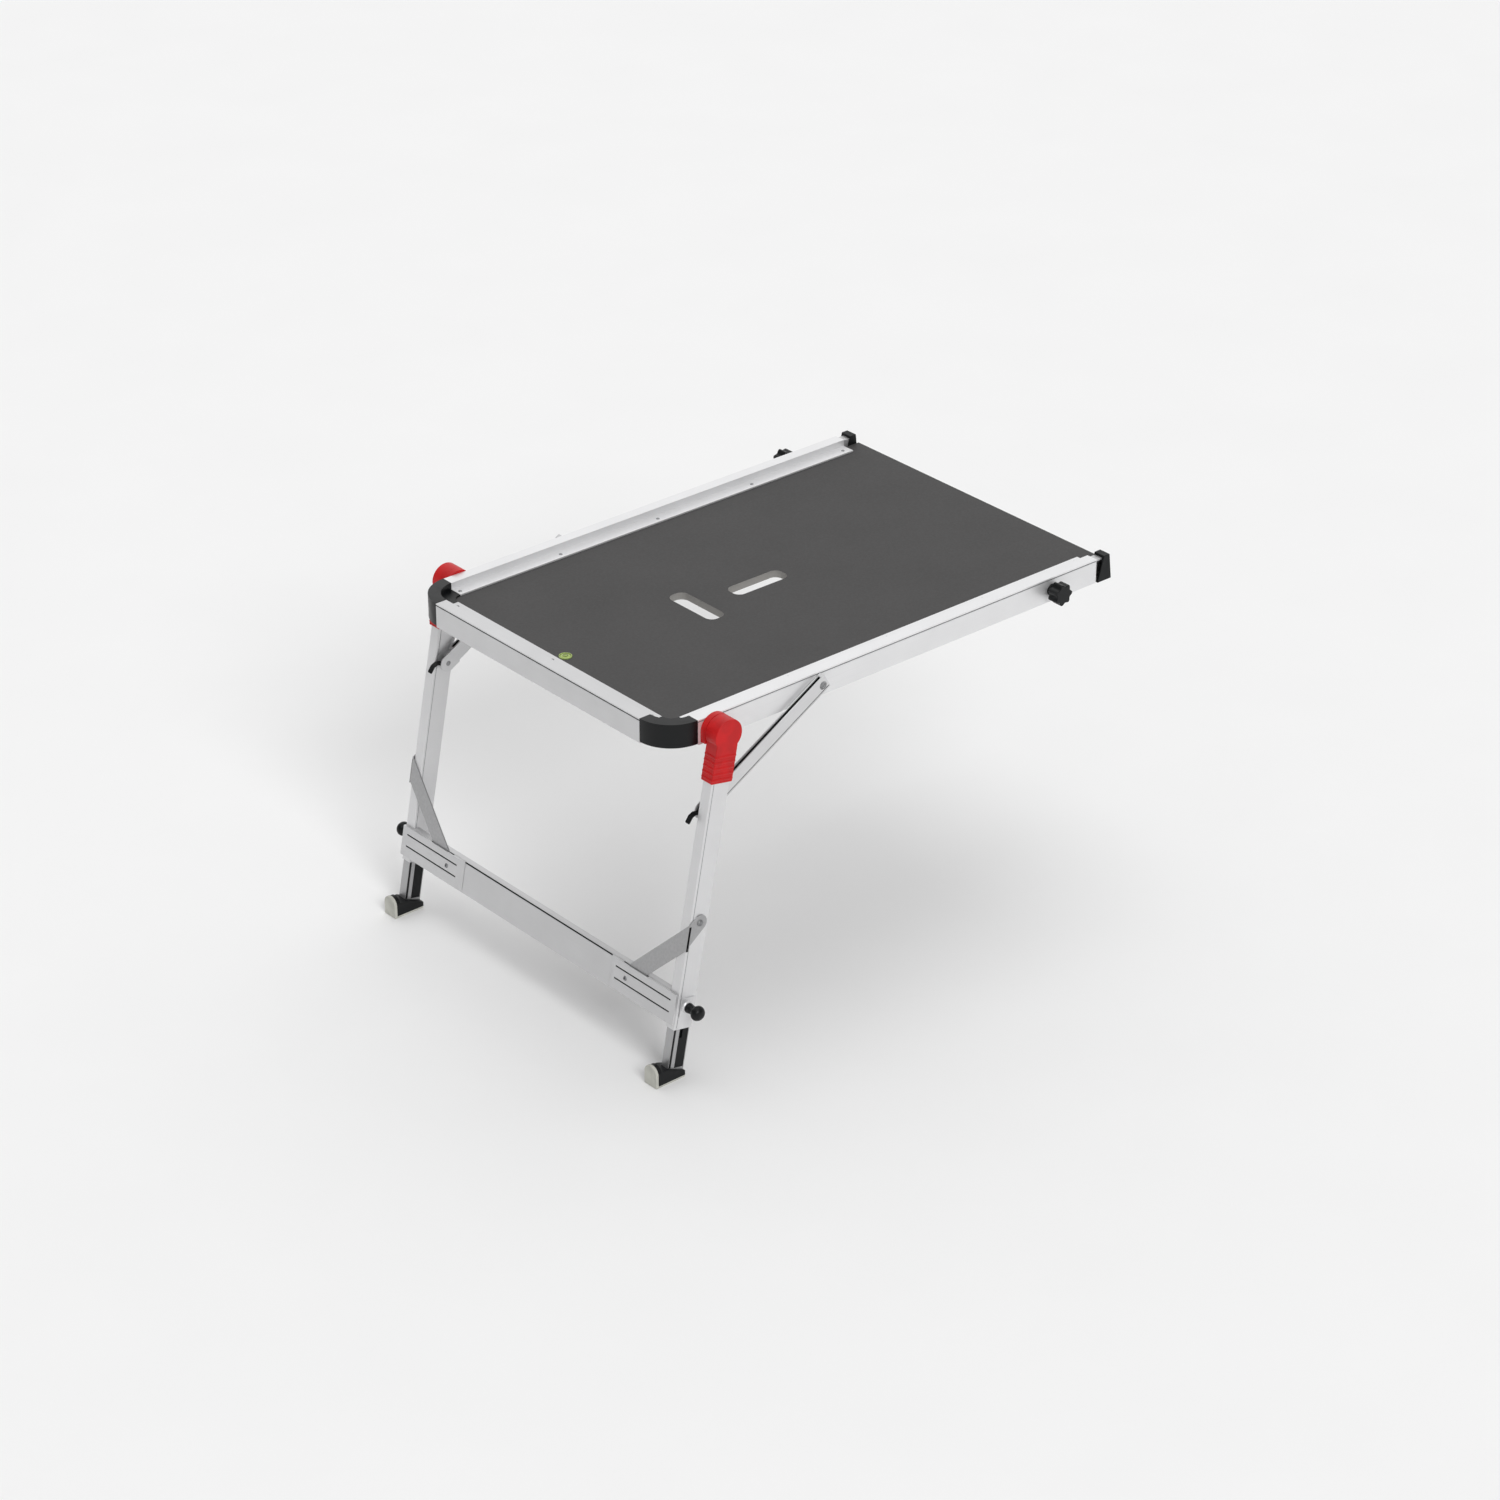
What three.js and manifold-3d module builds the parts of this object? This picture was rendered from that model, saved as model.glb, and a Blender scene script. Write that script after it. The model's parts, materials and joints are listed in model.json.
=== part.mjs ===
// A stair work platform: a deck in an aluminium rail frame, with one folding pair of front legs
// and two rear rail extensions that rest on a higher step. Millimetres, +X to the rear, +Y to the
// left, +Z up. The origin lies under the middle of the object, on the level of the front feet.

import * as THREE from 'three';
import { mergeVertices } from 'three/addons/utils/BufferGeometryUtils.js';
import ManifoldModule from 'manifold-3d';

const wasm = await ManifoldModule();
wasm.setup();

// ---------------------------------------------------------------- driving dimensions

const GAP = 0.3; // between pieces that touch
const STEP_LEVEL = 528; // height of the step under the rear feet, three risers up

// deck and rail frame
const FRAME_FRONT = -423.5;
const RAIL_REAR = 446;
const RAIL_OUTER_Y = 304;
const RAIL_BOTTOM = 528.6;
const RAIL_TOP = 569;
const RAIL_WIDTH = 20;
const RAIL_WALL = 2;
const RAIL_REACH = 42.5; // rail and its inner flange together
const FLANGE_THICK = 2.5;
const LEDGE = { wide: 8, thick: 2 }; // under the deck's edge
const GROOVE_Z = 566; // shadow groove under the outer top edge
const GROOVE_DEEP = 1;
const GROOVE_HALF = 0.9;
const CORNER = { radius: 60, bottom: 531, top: 569.5, spigot: 16 };
const DECK_REAR = 478;
const DECK_TOP = 555.2;
const DECK_THICK = 12;
const GRIP_SLOT = { length: 106, width: 33, radius: 13 };
const CROSS_SLOT_X = -110;
const LONG_SLOT_X = 13;
const LEVEL = { x: -366, y: 0, radius: 10.5, proud: 1.2, deep: 6 };
const CROSSMEMBER = { width: 36, wall: 2, frontX: -180, rearX: 150 };

// leg pair, measured along the leg from the pivot
const PIVOT = { x: -334, z: 548.6 };
const LEG_LEAN = 11; // degrees, feet forward
const LEG_INNER_Y = 317;
const LEG_WIDTH = 20;
const LEG_DEPTH = 35;
const LEG_WALL = 1.9;
const LEG_TOP = -12;
const LEG_END = 473;
const LEG_MID_Y = LEG_INNER_Y + LEG_WIDTH / 2;
const PIVOT_RADIUS = 6;
const HUB = { radius: 25, side: 2.2, sleeve: 2.5, end: 75 };
const LEG_LINE = { at: -12.8, width: 1, deep: 0.5 }; // fine line down each side of the tube
const BRACKET = { radius: 25, bottom: 533 };
const CROSSBAR = { top: 414, end: 468, depth: 12, wall: 1.6, grooveTop: 1.3, grooveEnd: 3.7 };
const TIE = { inner: 182, taper: 14, outer: 336.5, top: 414.5, end: 464, plate: 2.2, stand: 2.5, rim: 2 };
const TIE_GROOVES = { from: 196.7, to: 325, at: [426.7, 446.2], width: 2.3, deep: 0.9 };
const BRACE = { thick: 1.8, width: 29, top: 299, tabRadius: 13, tail: 11, rivet: 2.5 };

// telescoping inner leg
const INNER = { top: 300, floor: 8, halfDeep: 15.3, halfWide: 7.8, wall: 1.7 };
const RACK = { from: 312, to: 539, front: -3.4, rear: 14 };
const SIDE_GROOVE = { from: -14.5, to: -10.4, deep: 1.1 };
const PIN_GROOVE = { from: 347.5, to: 489.5, half: 2.9, floor: 331.6 };

// foot
const FOOT = { front: -472.5, rear: -422, innerY: 311, outerY: 339, height: 35, plate: 6 };
const SOLE = { thick: 3, front: -478 };

// locking plunger in the leg, side strut and its latch
const PLUNGER = {
  at: 436, pin: 2.5, tip: 332, end: 372, // the collar and its plate:
  mount: 9.5, mountThick: 4.6, plateHalf: 12.5, plateTall: 15, plateThick: 1.8,
};
const STRUT = { at: 130.7, topX: -130.3, topZ: 550.5, width: 28, past: 10, channelFrom: 17 };
const STRUT_SHELL = { innerY: 305, outerY: 314.4, wall: 1.8, under: 11.5, outerWall: 1.8 };
const STRUT_GROOVE = { at: -8.2, width: 1.6, deep: 1 };
const STRUT_TOP_SLOT = { innerY: 307.4, outerY: 312.8, from: 22, rest: 4 };
const STRUT_WINDOW = 6.8; // round opening over the upper bolt's head
const STRUT_PIN = { radius: 4, shoulder: 6.5 };
const LATCH = { eye: 10, thick: 2.2, outerY: 315.6 };

// rear extension
const EXTENSION = { front: 170, rear: 470, wall: 3 };
const REAR_FOOT = { front: 448.5, rake: 12, rear: 478, lean: 5, outerY: 306, innerY: 284.5, top: 571 };
const STAR = { x: 349.5, radius: 18, lobes: 7, valley: 3.8, from: 313, to: 332, stud: 4 };

// ---------------------------------------------------------------- materials

const finish = (color, roughness, metalness) => (
  new THREE.MeshStandardMaterial({ color, roughness, metalness }));

const anodised = finish(0xd4d5d6, 0.42, 0.9);
const millAluminium = finish(0xbfc0c1, 0.5, 0.9);
const braceSteel = finish(0xa8a9aa, 0.45, 0.9);
const steel = finish(0x9a9b9d, 0.35, 1);
const deckBoard = finish(0x525252, 0.8, 0);
const blackPlastic = finish(0x2a2d30, 0.55, 0);
const redPlastic = finish(0xc82a2a, 0.45, 0);
const padRubber = finish(0xc9c9c0, 0.85, 0);
const levelFluid = finish(0xb4cc5c, 0.15, 0);

// ---------------------------------------------------------------- shape helpers

const X = new THREE.Vector3(1, 0, 0);
const Y = new THREE.Vector3(0, 1, 0);
const Z = new THREE.Vector3(0, 0, 1);
const ROUND = 24; // sides of a small round piece

/** A closed outline through [a, b] points. */
function outline(points) {
  return new THREE.Shape(points.map(([a, b]) => new THREE.Vector2(a, b)));
}

/** A rectangle between two corners, with rounded corners where radius is given. */
function rectangle(a0, b0, a1, b1, radius = 0) {
  if (!radius) return outline([[a0, b0], [a1, b0], [a1, b1], [a0, b1]]);
  const shape = new THREE.Shape();
  shape.moveTo(a0 + radius, b0);
  shape.lineTo(a1 - radius, b0);
  shape.absarc(a1 - radius, b0 + radius, radius, -Math.PI / 2, 0);
  shape.lineTo(a1, b1 - radius);
  shape.absarc(a1 - radius, b1 - radius, radius, 0, Math.PI / 2);
  shape.lineTo(a0 + radius, b1);
  shape.absarc(a0 + radius, b1 - radius, radius, Math.PI / 2, Math.PI);
  shape.lineTo(a0, b0 + radius);
  shape.absarc(a0 + radius, b0 + radius, radius, Math.PI, 1.5 * Math.PI);
  return shape;
}

/** A full circle about (a, b). */
function circle(a, b, radius) {
  const shape = new THREE.Shape();
  shape.absarc(a, b, radius, 0, 2 * Math.PI);
  return shape;
}

function prism(shape, length, basis, curveSegments) {
  const geometry = new THREE.ExtrudeGeometry(shape, {
    depth: length, bevelEnabled: false, steps: 1, curveSegments,
  });
  return geometry.applyMatrix4(new THREE.Matrix4().makeBasis(...basis));
}

/** The prism of an outline given as (x, y), from z0 up to z1. */
function prismZ(shape, z0, z1, segments = 8) {
  return prism(shape, z1 - z0, [X, Y, Z], segments).translate(0, 0, z0);
}

/** The prism of an outline given as (y, z), from x0 to x1. */
function prismX(shape, x0, x1, segments = 8) {
  return prism(shape, x1 - x0, [Y, Z, X], segments).translate(x0, 0, 0);
}

/** The prism of an outline given as (x, z), from y0 to y1. */
function prismY(shape, y0, y1, segments = 8) {
  return prism(shape, y1 - y0, [X, Z, Y.clone().negate()], segments).translate(0, y1, 0);
}

function box(x0, x1, y0, y1, z0, z1) {
  const geometry = new THREE.BoxGeometry(x1 - x0, y1 - y0, z1 - z0);
  return geometry.translate((x0 + x1) / 2, (y0 + y1) / 2, (z0 + z1) / 2);
}

/** A turned piece on an axis along Y through (x, z). The profile holds [radius, y] points. */
function turnedY(profile, x = 0, z = 0, sides = ROUND) {
  const points = profile.map(([radius, y]) => new THREE.Vector2(radius, y));
  return new THREE.LatheGeometry(points, sides).translate(x, 0, z);
}

/** A round bar on an axis along Y. */
function barY(radius, y0, y1, x = 0, z = 0, sides = ROUND) {
  return turnedY([[0, y0], [radius, y0], [radius, y1], [0, y1]], x, z, sides);
}

function toSolid(geometry) {
  const bare = geometry.index ? geometry.toNonIndexed() : geometry.clone();
  bare.deleteAttribute('normal');
  bare.deleteAttribute('uv');
  const welded = mergeVertices(bare, 1e-4);
  return new wasm.Manifold(new wasm.Mesh({
    numProp: 3,
    vertProperties: new Float32Array(welded.attributes.position.array),
    triVerts: new Uint32Array(welded.index.array),
  }));
}

function toGeometry(solid) {
  const mesh = solid.getMesh();
  const geometry = new THREE.BufferGeometry();
  geometry.setAttribute('position', new THREE.BufferAttribute(mesh.vertProperties, 3));
  geometry.setIndex(new THREE.BufferAttribute(mesh.triVerts, 1));
  return geometry;
}

/** The first geometry with the others joined to it. */
function join(first, ...others) {
  return toGeometry(others.reduce((sum, other) => sum.add(toSolid(other)), toSolid(first)));
}

/** The first geometry with the others cut away. */
function cut(first, ...others) {
  return toGeometry(others.reduce((rest, other) => rest.subtract(toSolid(other)), toSolid(first)));
}

/** The same piece on the other side of the object. */
function mirrored(geometry) {
  const copy = (geometry.index ? geometry.toNonIndexed() : geometry.clone()).scale(1, -1, 1);
  const { array } = copy.attributes.position;
  for (let i = 0; i < array.length; i += 9) {
    for (let k = 0; k < 3; k += 1) {
      [array[i + 3 + k], array[i + 6 + k]] = [array[i + 6 + k], array[i + 3 + k]];
    }
  }
  copy.deleteAttribute('normal');
  return copy;
}

const bench = new THREE.Group();

/** The frame of the leg pair: origin at the pivot, -Z down the leg, -X to its front. */
const legs = new THREE.Group();
legs.position.set(PIVOT.x, 0, PIVOT.z);
legs.rotation.y = THREE.MathUtils.degToRad(LEG_LEAN);
bench.add(legs);

function add(name, geometry, material, parent = bench) {
  const mesh = new THREE.Mesh(geometry, material);
  mesh.name = name;
  parent.add(mesh);
}

/** Adds a piece drawn on the left side, and its mirror image on the right. */
function addPair(name, geometry, material, parent = bench) {
  add(`${name}_left`, geometry, material, parent);
  add(`${name}_right`, mirrored(geometry), material, parent);
}

// ---------------------------------------------------------------- deck and rail frame

const boxInnerY = RAIL_OUTER_Y - RAIL_WIDTH;
const flangeZ = DECK_TOP + GAP;
const deckUnder = DECK_TOP - DECK_THICK - GAP;
const capX = FRAME_FRONT + CORNER.radius;
const capY = RAIL_OUTER_Y - CORNER.radius;
const ringInner = CORNER.radius - RAIL_WIDTH;

/** The rail section: a hollow box whose flange and ledge hold the deck, outer face at a = 0. */
function railSection(direction) {
  const a = (value) => value * direction;
  const section = outline([
    [a(0), RAIL_BOTTOM],
    [a(RAIL_WIDTH), RAIL_BOTTOM],
    [a(RAIL_WIDTH), deckUnder - LEDGE.thick],
    [a(RAIL_WIDTH + LEDGE.wide), deckUnder - LEDGE.thick],
    [a(RAIL_WIDTH + LEDGE.wide), deckUnder],
    [a(RAIL_WIDTH), deckUnder],
    [a(RAIL_WIDTH), flangeZ],
    [a(RAIL_REACH), flangeZ],
    [a(RAIL_REACH), flangeZ + FLANGE_THICK],
    [a(RAIL_WIDTH), flangeZ + FLANGE_THICK],
    [a(RAIL_WIDTH), RAIL_TOP],
    [a(0), RAIL_TOP],
    [a(0), GROOVE_Z + GROOVE_HALF],
    [a(GROOVE_DEEP), GROOVE_Z + GROOVE_HALF],
    [a(GROOVE_DEEP), GROOVE_Z - GROOVE_HALF],
    [a(0), GROOVE_Z - GROOVE_HALF],
  ]);
  section.holes.push(rectangle(
    a(direction > 0 ? RAIL_WALL : RAIL_WIDTH - RAIL_WALL), RAIL_BOTTOM + RAIL_WALL,
    a(direction > 0 ? RAIL_WIDTH - RAIL_WALL : RAIL_WALL), RAIL_TOP - RAIL_WALL));
  return section;
}

function sideRail() {
  const rail = prismX(railSection(-1), capX + GAP, RAIL_REAR).translate(0, RAIL_OUTER_Y, 0);
  return cut(
    rail,
    barY(PIVOT_RADIUS + GAP, RAIL_OUTER_Y - 4, RAIL_OUTER_Y + 4, PIVOT.x, PIVOT.z),
    barY(STAR.stud + GAP, RAIL_OUTER_Y - 4, RAIL_OUTER_Y + 4, STAR.x, PIVOT.z));
}

function frontRail() {
  return prismY(railSection(1), GAP - capY, capY - GAP).translate(FRAME_FRONT, 0, 0);
}

/** A quarter ring about the corner's centre. */
function quarterRing(outer, inner) {
  const ring = new THREE.Shape();
  ring.absarc(capX, capY, outer, Math.PI / 2, Math.PI);
  ring.absarc(capX, capY, inner, Math.PI, Math.PI / 2, true);
  return ring;
}

/** Closes a front corner: a rounded piece with a lip over the deck and a plug in each rail. */
function cornerCap() {
  const inset = RAIL_WALL + GAP;
  const z0 = RAIL_BOTTOM + inset;
  const z1 = RAIL_TOP - inset;
  const overlap = 1;
  const { radius, bottom, top, spigot } = CORNER;
  return join(
    prismZ(quarterRing(radius, ringInner), bottom, top, 16),
    prismZ(quarterRing(ringInner + overlap, radius - RAIL_REACH), flangeZ, flangeZ + FLANGE_THICK, 12),
    box(capX - overlap, capX + spigot, boxInnerY + inset, RAIL_OUTER_Y - inset, z0, z1),
    box(FRAME_FRONT + inset, FRAME_FRONT + RAIL_WIDTH - inset, capY - spigot, capY + overlap, z0, z1));
}

function gripSlot(x, across) {
  const halfX = (across ? GRIP_SLOT.width : GRIP_SLOT.length) / 2;
  const halfY = (across ? GRIP_SLOT.length : GRIP_SLOT.width) / 2;
  return rectangle(x - halfX, -halfY, x + halfX, halfY, GRIP_SLOT.radius);
}

function deckPanel() {
  const front = FRAME_FRONT + RAIL_WIDTH + GAP;
  const halfWidth = boxInnerY - GAP;
  const radius = ringInner - GAP;
  const panel = new THREE.Shape();
  panel.moveTo(DECK_REAR, -halfWidth);
  panel.lineTo(DECK_REAR, halfWidth);
  panel.lineTo(front + radius, halfWidth);
  panel.absarc(front + radius, halfWidth - radius, radius, Math.PI / 2, Math.PI);
  panel.lineTo(front, radius - halfWidth);
  panel.absarc(front + radius, radius - halfWidth, radius, Math.PI, 1.5 * Math.PI);
  panel.holes.push(gripSlot(CROSS_SLOT_X, true), gripSlot(LONG_SLOT_X, false));
  panel.holes.push(circle(LEVEL.x, LEVEL.y, LEVEL.radius + GAP));
  return prismZ(panel, DECK_TOP - DECK_THICK, DECK_TOP, 10);
}

/** A channel under the deck, open downwards, between the ledges of the side rails. */
function crossmember(x) {
  const half = CROSSMEMBER.width / 2;
  const inside = half - CROSSMEMBER.wall;
  const end = boxInnerY - LEDGE.wide - GAP;
  return cut(
    box(x - half, x + half, -end, end, RAIL_BOTTOM, deckUnder),
    box(x - inside, x + inside, -end - 1, end + 1, RAIL_BOTTOM - 1, deckUnder - CROSSMEMBER.wall));
}

/** A round bubble level let into the deck: its cup, and the domed vial in it. */
function levelCup() {
  const rim = DECK_TOP + LEVEL.proud;
  return new THREE.LatheGeometry([
    [0, DECK_TOP - LEVEL.deep], [LEVEL.radius, DECK_TOP - LEVEL.deep], [LEVEL.radius, rim],
    [LEVEL.radius - 2, rim], [LEVEL.radius - 2, DECK_TOP - LEVEL.deep + 1.5],
    [0, DECK_TOP - LEVEL.deep + 1.5],
  ].map(([r, z]) => new THREE.Vector2(r, z)), 32).rotateX(Math.PI / 2).translate(LEVEL.x, LEVEL.y, 0);
}

function levelVial() {
  const floor = DECK_TOP - LEVEL.deep + 1.5 + GAP;
  const radius = LEVEL.radius - 2 - GAP;
  const edge = DECK_TOP + 0.4;
  return new THREE.LatheGeometry([
    [0, floor], [radius, floor], [radius, edge], [radius * 0.7, edge + 0.8], [0, edge + 1.1],
  ].map(([r, z]) => new THREE.Vector2(r, z)), 32).rotateX(Math.PI / 2).translate(LEVEL.x, LEVEL.y, 0);
}

add('deck_panel', deckPanel(), deckBoard);
add('front_rail', frontRail(), anodised);
addPair('side_rail', sideRail(), anodised);
addPair('corner_cap', cornerCap(), blackPlastic);
add('crossmember_front', crossmember(CROSSMEMBER.frontX), millAluminium);
add('crossmember_rear', crossmember(CROSSMEMBER.rearX), millAluminium);
add('level_housing', levelCup(), levelFluid);
add('level_vial', levelVial(), levelFluid);

// ---------------------------------------------------------------- leg hinge

const hubInnerY = LEG_INNER_Y - HUB.side;

/** The fixed plate between the rail and the leg's hub, with a round top. */
function hingeBracket() {
  const { radius, bottom } = BRACKET;
  const plate = new THREE.Shape();
  plate.moveTo(PIVOT.x - radius, bottom);
  plate.lineTo(PIVOT.x + radius, bottom);
  plate.absarc(PIVOT.x, PIVOT.z, radius, 0, Math.PI);
  return cut(
    prismY(plate, RAIL_OUTER_Y + GAP, hubInnerY - GAP, 24),
    barY(PIVOT_RADIUS + GAP, RAIL_OUTER_Y - 1, LEG_INNER_Y, PIVOT.x, PIVOT.z));
}

/** Head inside the rail, shank out through the block into the leg. */
function pivotBolt() {
  const headY = RAIL_OUTER_Y - RAIL_WALL - GAP;
  return turnedY([
    [0, headY - 6], [9.5, headY - 6], [9.5, headY], [PIVOT_RADIUS, headY],
    [PIVOT_RADIUS, LEG_INNER_Y + LEG_WIDTH - LEG_WALL - 1],
    [0, LEG_INNER_Y + LEG_WIDTH - LEG_WALL - 1],
  ], PIVOT.x, PIVOT.z);
}

addPair('hinge_bracket', hingeBracket(), redPlastic);
addPair('pivot_bolt', pivotBolt(), steel);

// ---------------------------------------------------------------- leg pair

const halfDepth = LEG_DEPTH / 2;
const legOuterY = LEG_INNER_Y + LEG_WIDTH;

/** A rectangular tube along Z, with its long side along X. */
function tubeZ(halfX, y0, y1, wall, z0, z1, radius) {
  const section = rectangle(-halfX, y0, halfX, y1, radius);
  section.holes.push(rectangle(wall - halfX, y0 + wall, halfX - wall, y1 - wall));
  return prismZ(section, z0, z1, 3);
}

function legTube() {
  const { at, width, deep } = LEG_LINE;
  const lines = [[LEG_INNER_Y - 1, LEG_INNER_Y + deep], [legOuterY - deep, legOuterY + 1]].map(
    ([y0, y1]) => box(at - width / 2, at + width / 2, y0, y1, -LEG_END - 1, 1 - LEG_TOP));
  return cut(
    tubeZ(halfDepth, LEG_INNER_Y, legOuterY, LEG_WALL, -LEG_END, -LEG_TOP, 2), ...lines,
    barY(PIVOT_RADIUS + GAP, LEG_INNER_Y - 2, LEG_MID_Y),
    barY(STRUT_PIN.radius + GAP, LEG_INNER_Y - 2, LEG_MID_Y, 0, -STRUT.at),
    barY(BRACE.rivet + GAP, LEG_MID_Y, legOuterY + 2, 0, -BRACE.top, 16),
    barY(PLUNGER.pin + GAP, LEG_MID_Y, legOuterY + 2, 0, -PLUNGER.at));
}

/** The hub and sleeve over the top of a leg. */
function legCap() {
  const outerY = legOuterY + HUB.side;
  const half = halfDepth + HUB.sleeve;
  return cut(
    join(
      prismY(circle(0, 0, HUB.radius), hubInnerY, outerY, 24),
      box(-half, half, hubInnerY, outerY, -HUB.end, -10)),
    box(-halfDepth - GAP, halfDepth + GAP, LEG_INNER_Y - GAP, legOuterY + GAP,
      -HUB.end - 1, GAP - LEG_TOP),
    barY(PIVOT_RADIUS + GAP, hubInnerY - 1, LEG_MID_Y));
}

/** The bar between the legs, flush with their front faces. */
function crossbar() {
  const end = LEG_INNER_Y - GAP;
  const front = -halfDepth;
  const rear = front + CROSSBAR.depth;
  const top = -CROSSBAR.top;
  const low = -CROSSBAR.end;
  const { grooveTop, grooveEnd } = CROSSBAR;
  const section = outline([
    [front, low], [rear, low], [rear, top], [front, top],
    [front, top - grooveTop], [front + GROOVE_DEEP, top - grooveTop],
    [front + GROOVE_DEEP, top - grooveEnd], [front, top - grooveEnd],
  ]);
  section.holes.push(rectangle(
    front + CROSSBAR.wall + GROOVE_DEEP, low + CROSSBAR.wall,
    rear - CROSSBAR.wall, top - CROSSBAR.wall));
  return prismY(section, -end, end);
}

/** A shallow tray that ties the crossbar to a leg, open at the top where the brace enters. */
function crossbarBracket() {
  const rearX = -halfDepth - GAP;
  const frontX = rearX - TIE.stand - TIE.plate;
  const { inner, taper, outer } = TIE;
  const pocket = box(rearX - TIE.stand, rearX + 1, inner + taper, outer - TIE.rim,
    TIE.rim - TIE.end, -TIE.top - TIE.rim);
  const braceY = LEG_INNER_Y + LEG_WIDTH - (TIE.top - BRACE.top);
  const doorway = box(rearX - TIE.stand, rearX + 1, braceY - 12, braceY + 46,
    TIE.rim - TIE.end, 1 - TIE.top);
  const grooves = TIE_GROOVES.at.map((at) => box(
    frontX - 1, frontX + TIE_GROOVES.deep, TIE_GROOVES.from, TIE_GROOVES.to,
    -at - TIE_GROOVES.width / 2, TIE_GROOVES.width / 2 - at));
  const plate = prismZ(outline([
    [rearX, inner], [rearX, outer], [frontX, outer], [frontX, inner + taper],
    [rearX - GAP, inner],
  ]), -TIE.end, -TIE.top);
  return cut(plate, pocket, doorway, ...grooves);
}

/** A flat strap from the crossbar up to the leg, folded round onto the leg's outer face. */
function brace() {
  const x1 = -halfDepth - GAP;
  const x0 = x1 - BRACE.thick;
  const fold = legOuterY + GAP;
  const reach = fold + BRACE.thick;
  const upright = BRACE.width * Math.SQRT2;
  const run = CROSSBAR.top + BRACE.tail - BRACE.top;
  const strap = prismX(outline([
    [reach, -BRACE.top], [reach, -BRACE.top - upright],
    [fold - run + upright, -BRACE.top - run], [fold - run, -BRACE.top - run],
  ]), x0, x1);
  const tab = prismY(outline([
    [x0, -BRACE.top], [x0, -BRACE.top - upright], [9.2, -BRACE.top - 9.2],
    [0, -BRACE.top + BRACE.tabRadius], [-8, -BRACE.top + 10],
  ]), fold, reach);
  const eye = barY(BRACE.tabRadius, fold, reach, 0, -BRACE.top, 32);
  const hole = barY(BRACE.rivet + GAP, fold - 1, reach + 1, 0, -BRACE.top, 16);
  return cut(join(strap, tab, eye), hole);
}

/** The rivet that holds the brace's tab to the leg's outer wall. */
function braceRivet() {
  const plateY = legOuterY + GAP + BRACE.thick + GAP;
  const inside = legOuterY - LEG_WALL + GAP;
  return turnedY([
    [0, inside], [BRACE.rivet, inside], [BRACE.rivet, plateY], [5.4, plateY], [4.6, plateY + 1.2],
    [2.6, plateY + 2], [0, plateY + 2.2],
  ], 0, -BRACE.top, 16);
}

/** The strut's lower pin: a shoulder between the strut and the leg, a shank through each. */
function strutPin() {
  const { radius, shoulder } = STRUT_PIN;
  const { innerY, wall } = STRUT_SHELL;
  return turnedY([
    [0, innerY], [radius, innerY], [radius, innerY + wall + GAP], [shoulder, innerY + wall + GAP],
    [shoulder, LEG_INNER_Y - GAP], [radius, LEG_INNER_Y - GAP], [radius, LEG_INNER_Y + 5],
    [0, LEG_INNER_Y + 5],
  ], 0, -STRUT.at);
}

/** The plunger's collar on its mounting plate. */
function plungerMount() {
  const y0 = legOuterY + GAP;
  const y1 = legOuterY + PLUNGER.mountThick;
  const bore = PLUNGER.pin + GAP;
  const { at, mount, plateHalf, plateTall, plateThick } = PLUNGER;
  const collar = turnedY([
    [0, y0], [mount, y0], [mount, y1 - 1.5], [mount - 1.5, y1], [0, y1],
  ], 0, -at);
  const plate = box(-plateHalf, plateHalf, y0, y0 + plateThick, -at - plateTall, plateTall - at);
  return cut(join(collar, plate), barY(bore, y0 - 1, y1 + 1, 0, -at));
}

addPair('leg_tube', legTube(), anodised, legs);
addPair('leg_cap', legCap(), redPlastic, legs);
add('crossbar', crossbar(), anodised, legs);
addPair('crossbar_bracket', crossbarBracket(), anodised, legs);
addPair('brace', brace(), braceSteel, legs);
addPair('brace_rivet', braceRivet(), steel, legs);
addPair('strut_pin', strutPin(), steel, legs);
addPair('plunger_mount', plungerMount(), anodised, legs);

// ---------------------------------------------------------------- locking plungers

function plungerPin() {
  return barY(PLUNGER.pin, PLUNGER.tip, legOuterY + PLUNGER.mountThick + 4, 0, -PLUNGER.at, 16);
}

/** A mushroom knob on the plunger's pin. */
function plungerKnob() {
  const y0 = legOuterY + PLUNGER.mountThick + GAP;
  const { end } = PLUNGER;
  const bore = PLUNGER.pin + GAP;
  return turnedY([
    [bore, y0], [8.5, y0], [7, y0 + 5], [7, end - 19], [11.5, end - 14], [12, end - 8],
    [9.5, end - 3], [5, end], [0, end], [0, y0 + 5], [bore, y0 + 5], [bore, y0],
  ], 0, -PLUNGER.at);
}

addPair('plunger_pin', plungerPin(), steel, legs);
addPair('plunger_knob', plungerKnob(), blackPlastic, legs);

// ---------------------------------------------------------------- telescoping inner legs

const lean = THREE.MathUtils.degToRad(LEG_LEAN);

/** How far down the leg a point at x in the leg's frame reaches the level z. */
function innerEnd(z, x) {
  return (PIVOT.z - z - x * Math.sin(lean)) / Math.cos(lean);
}

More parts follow.
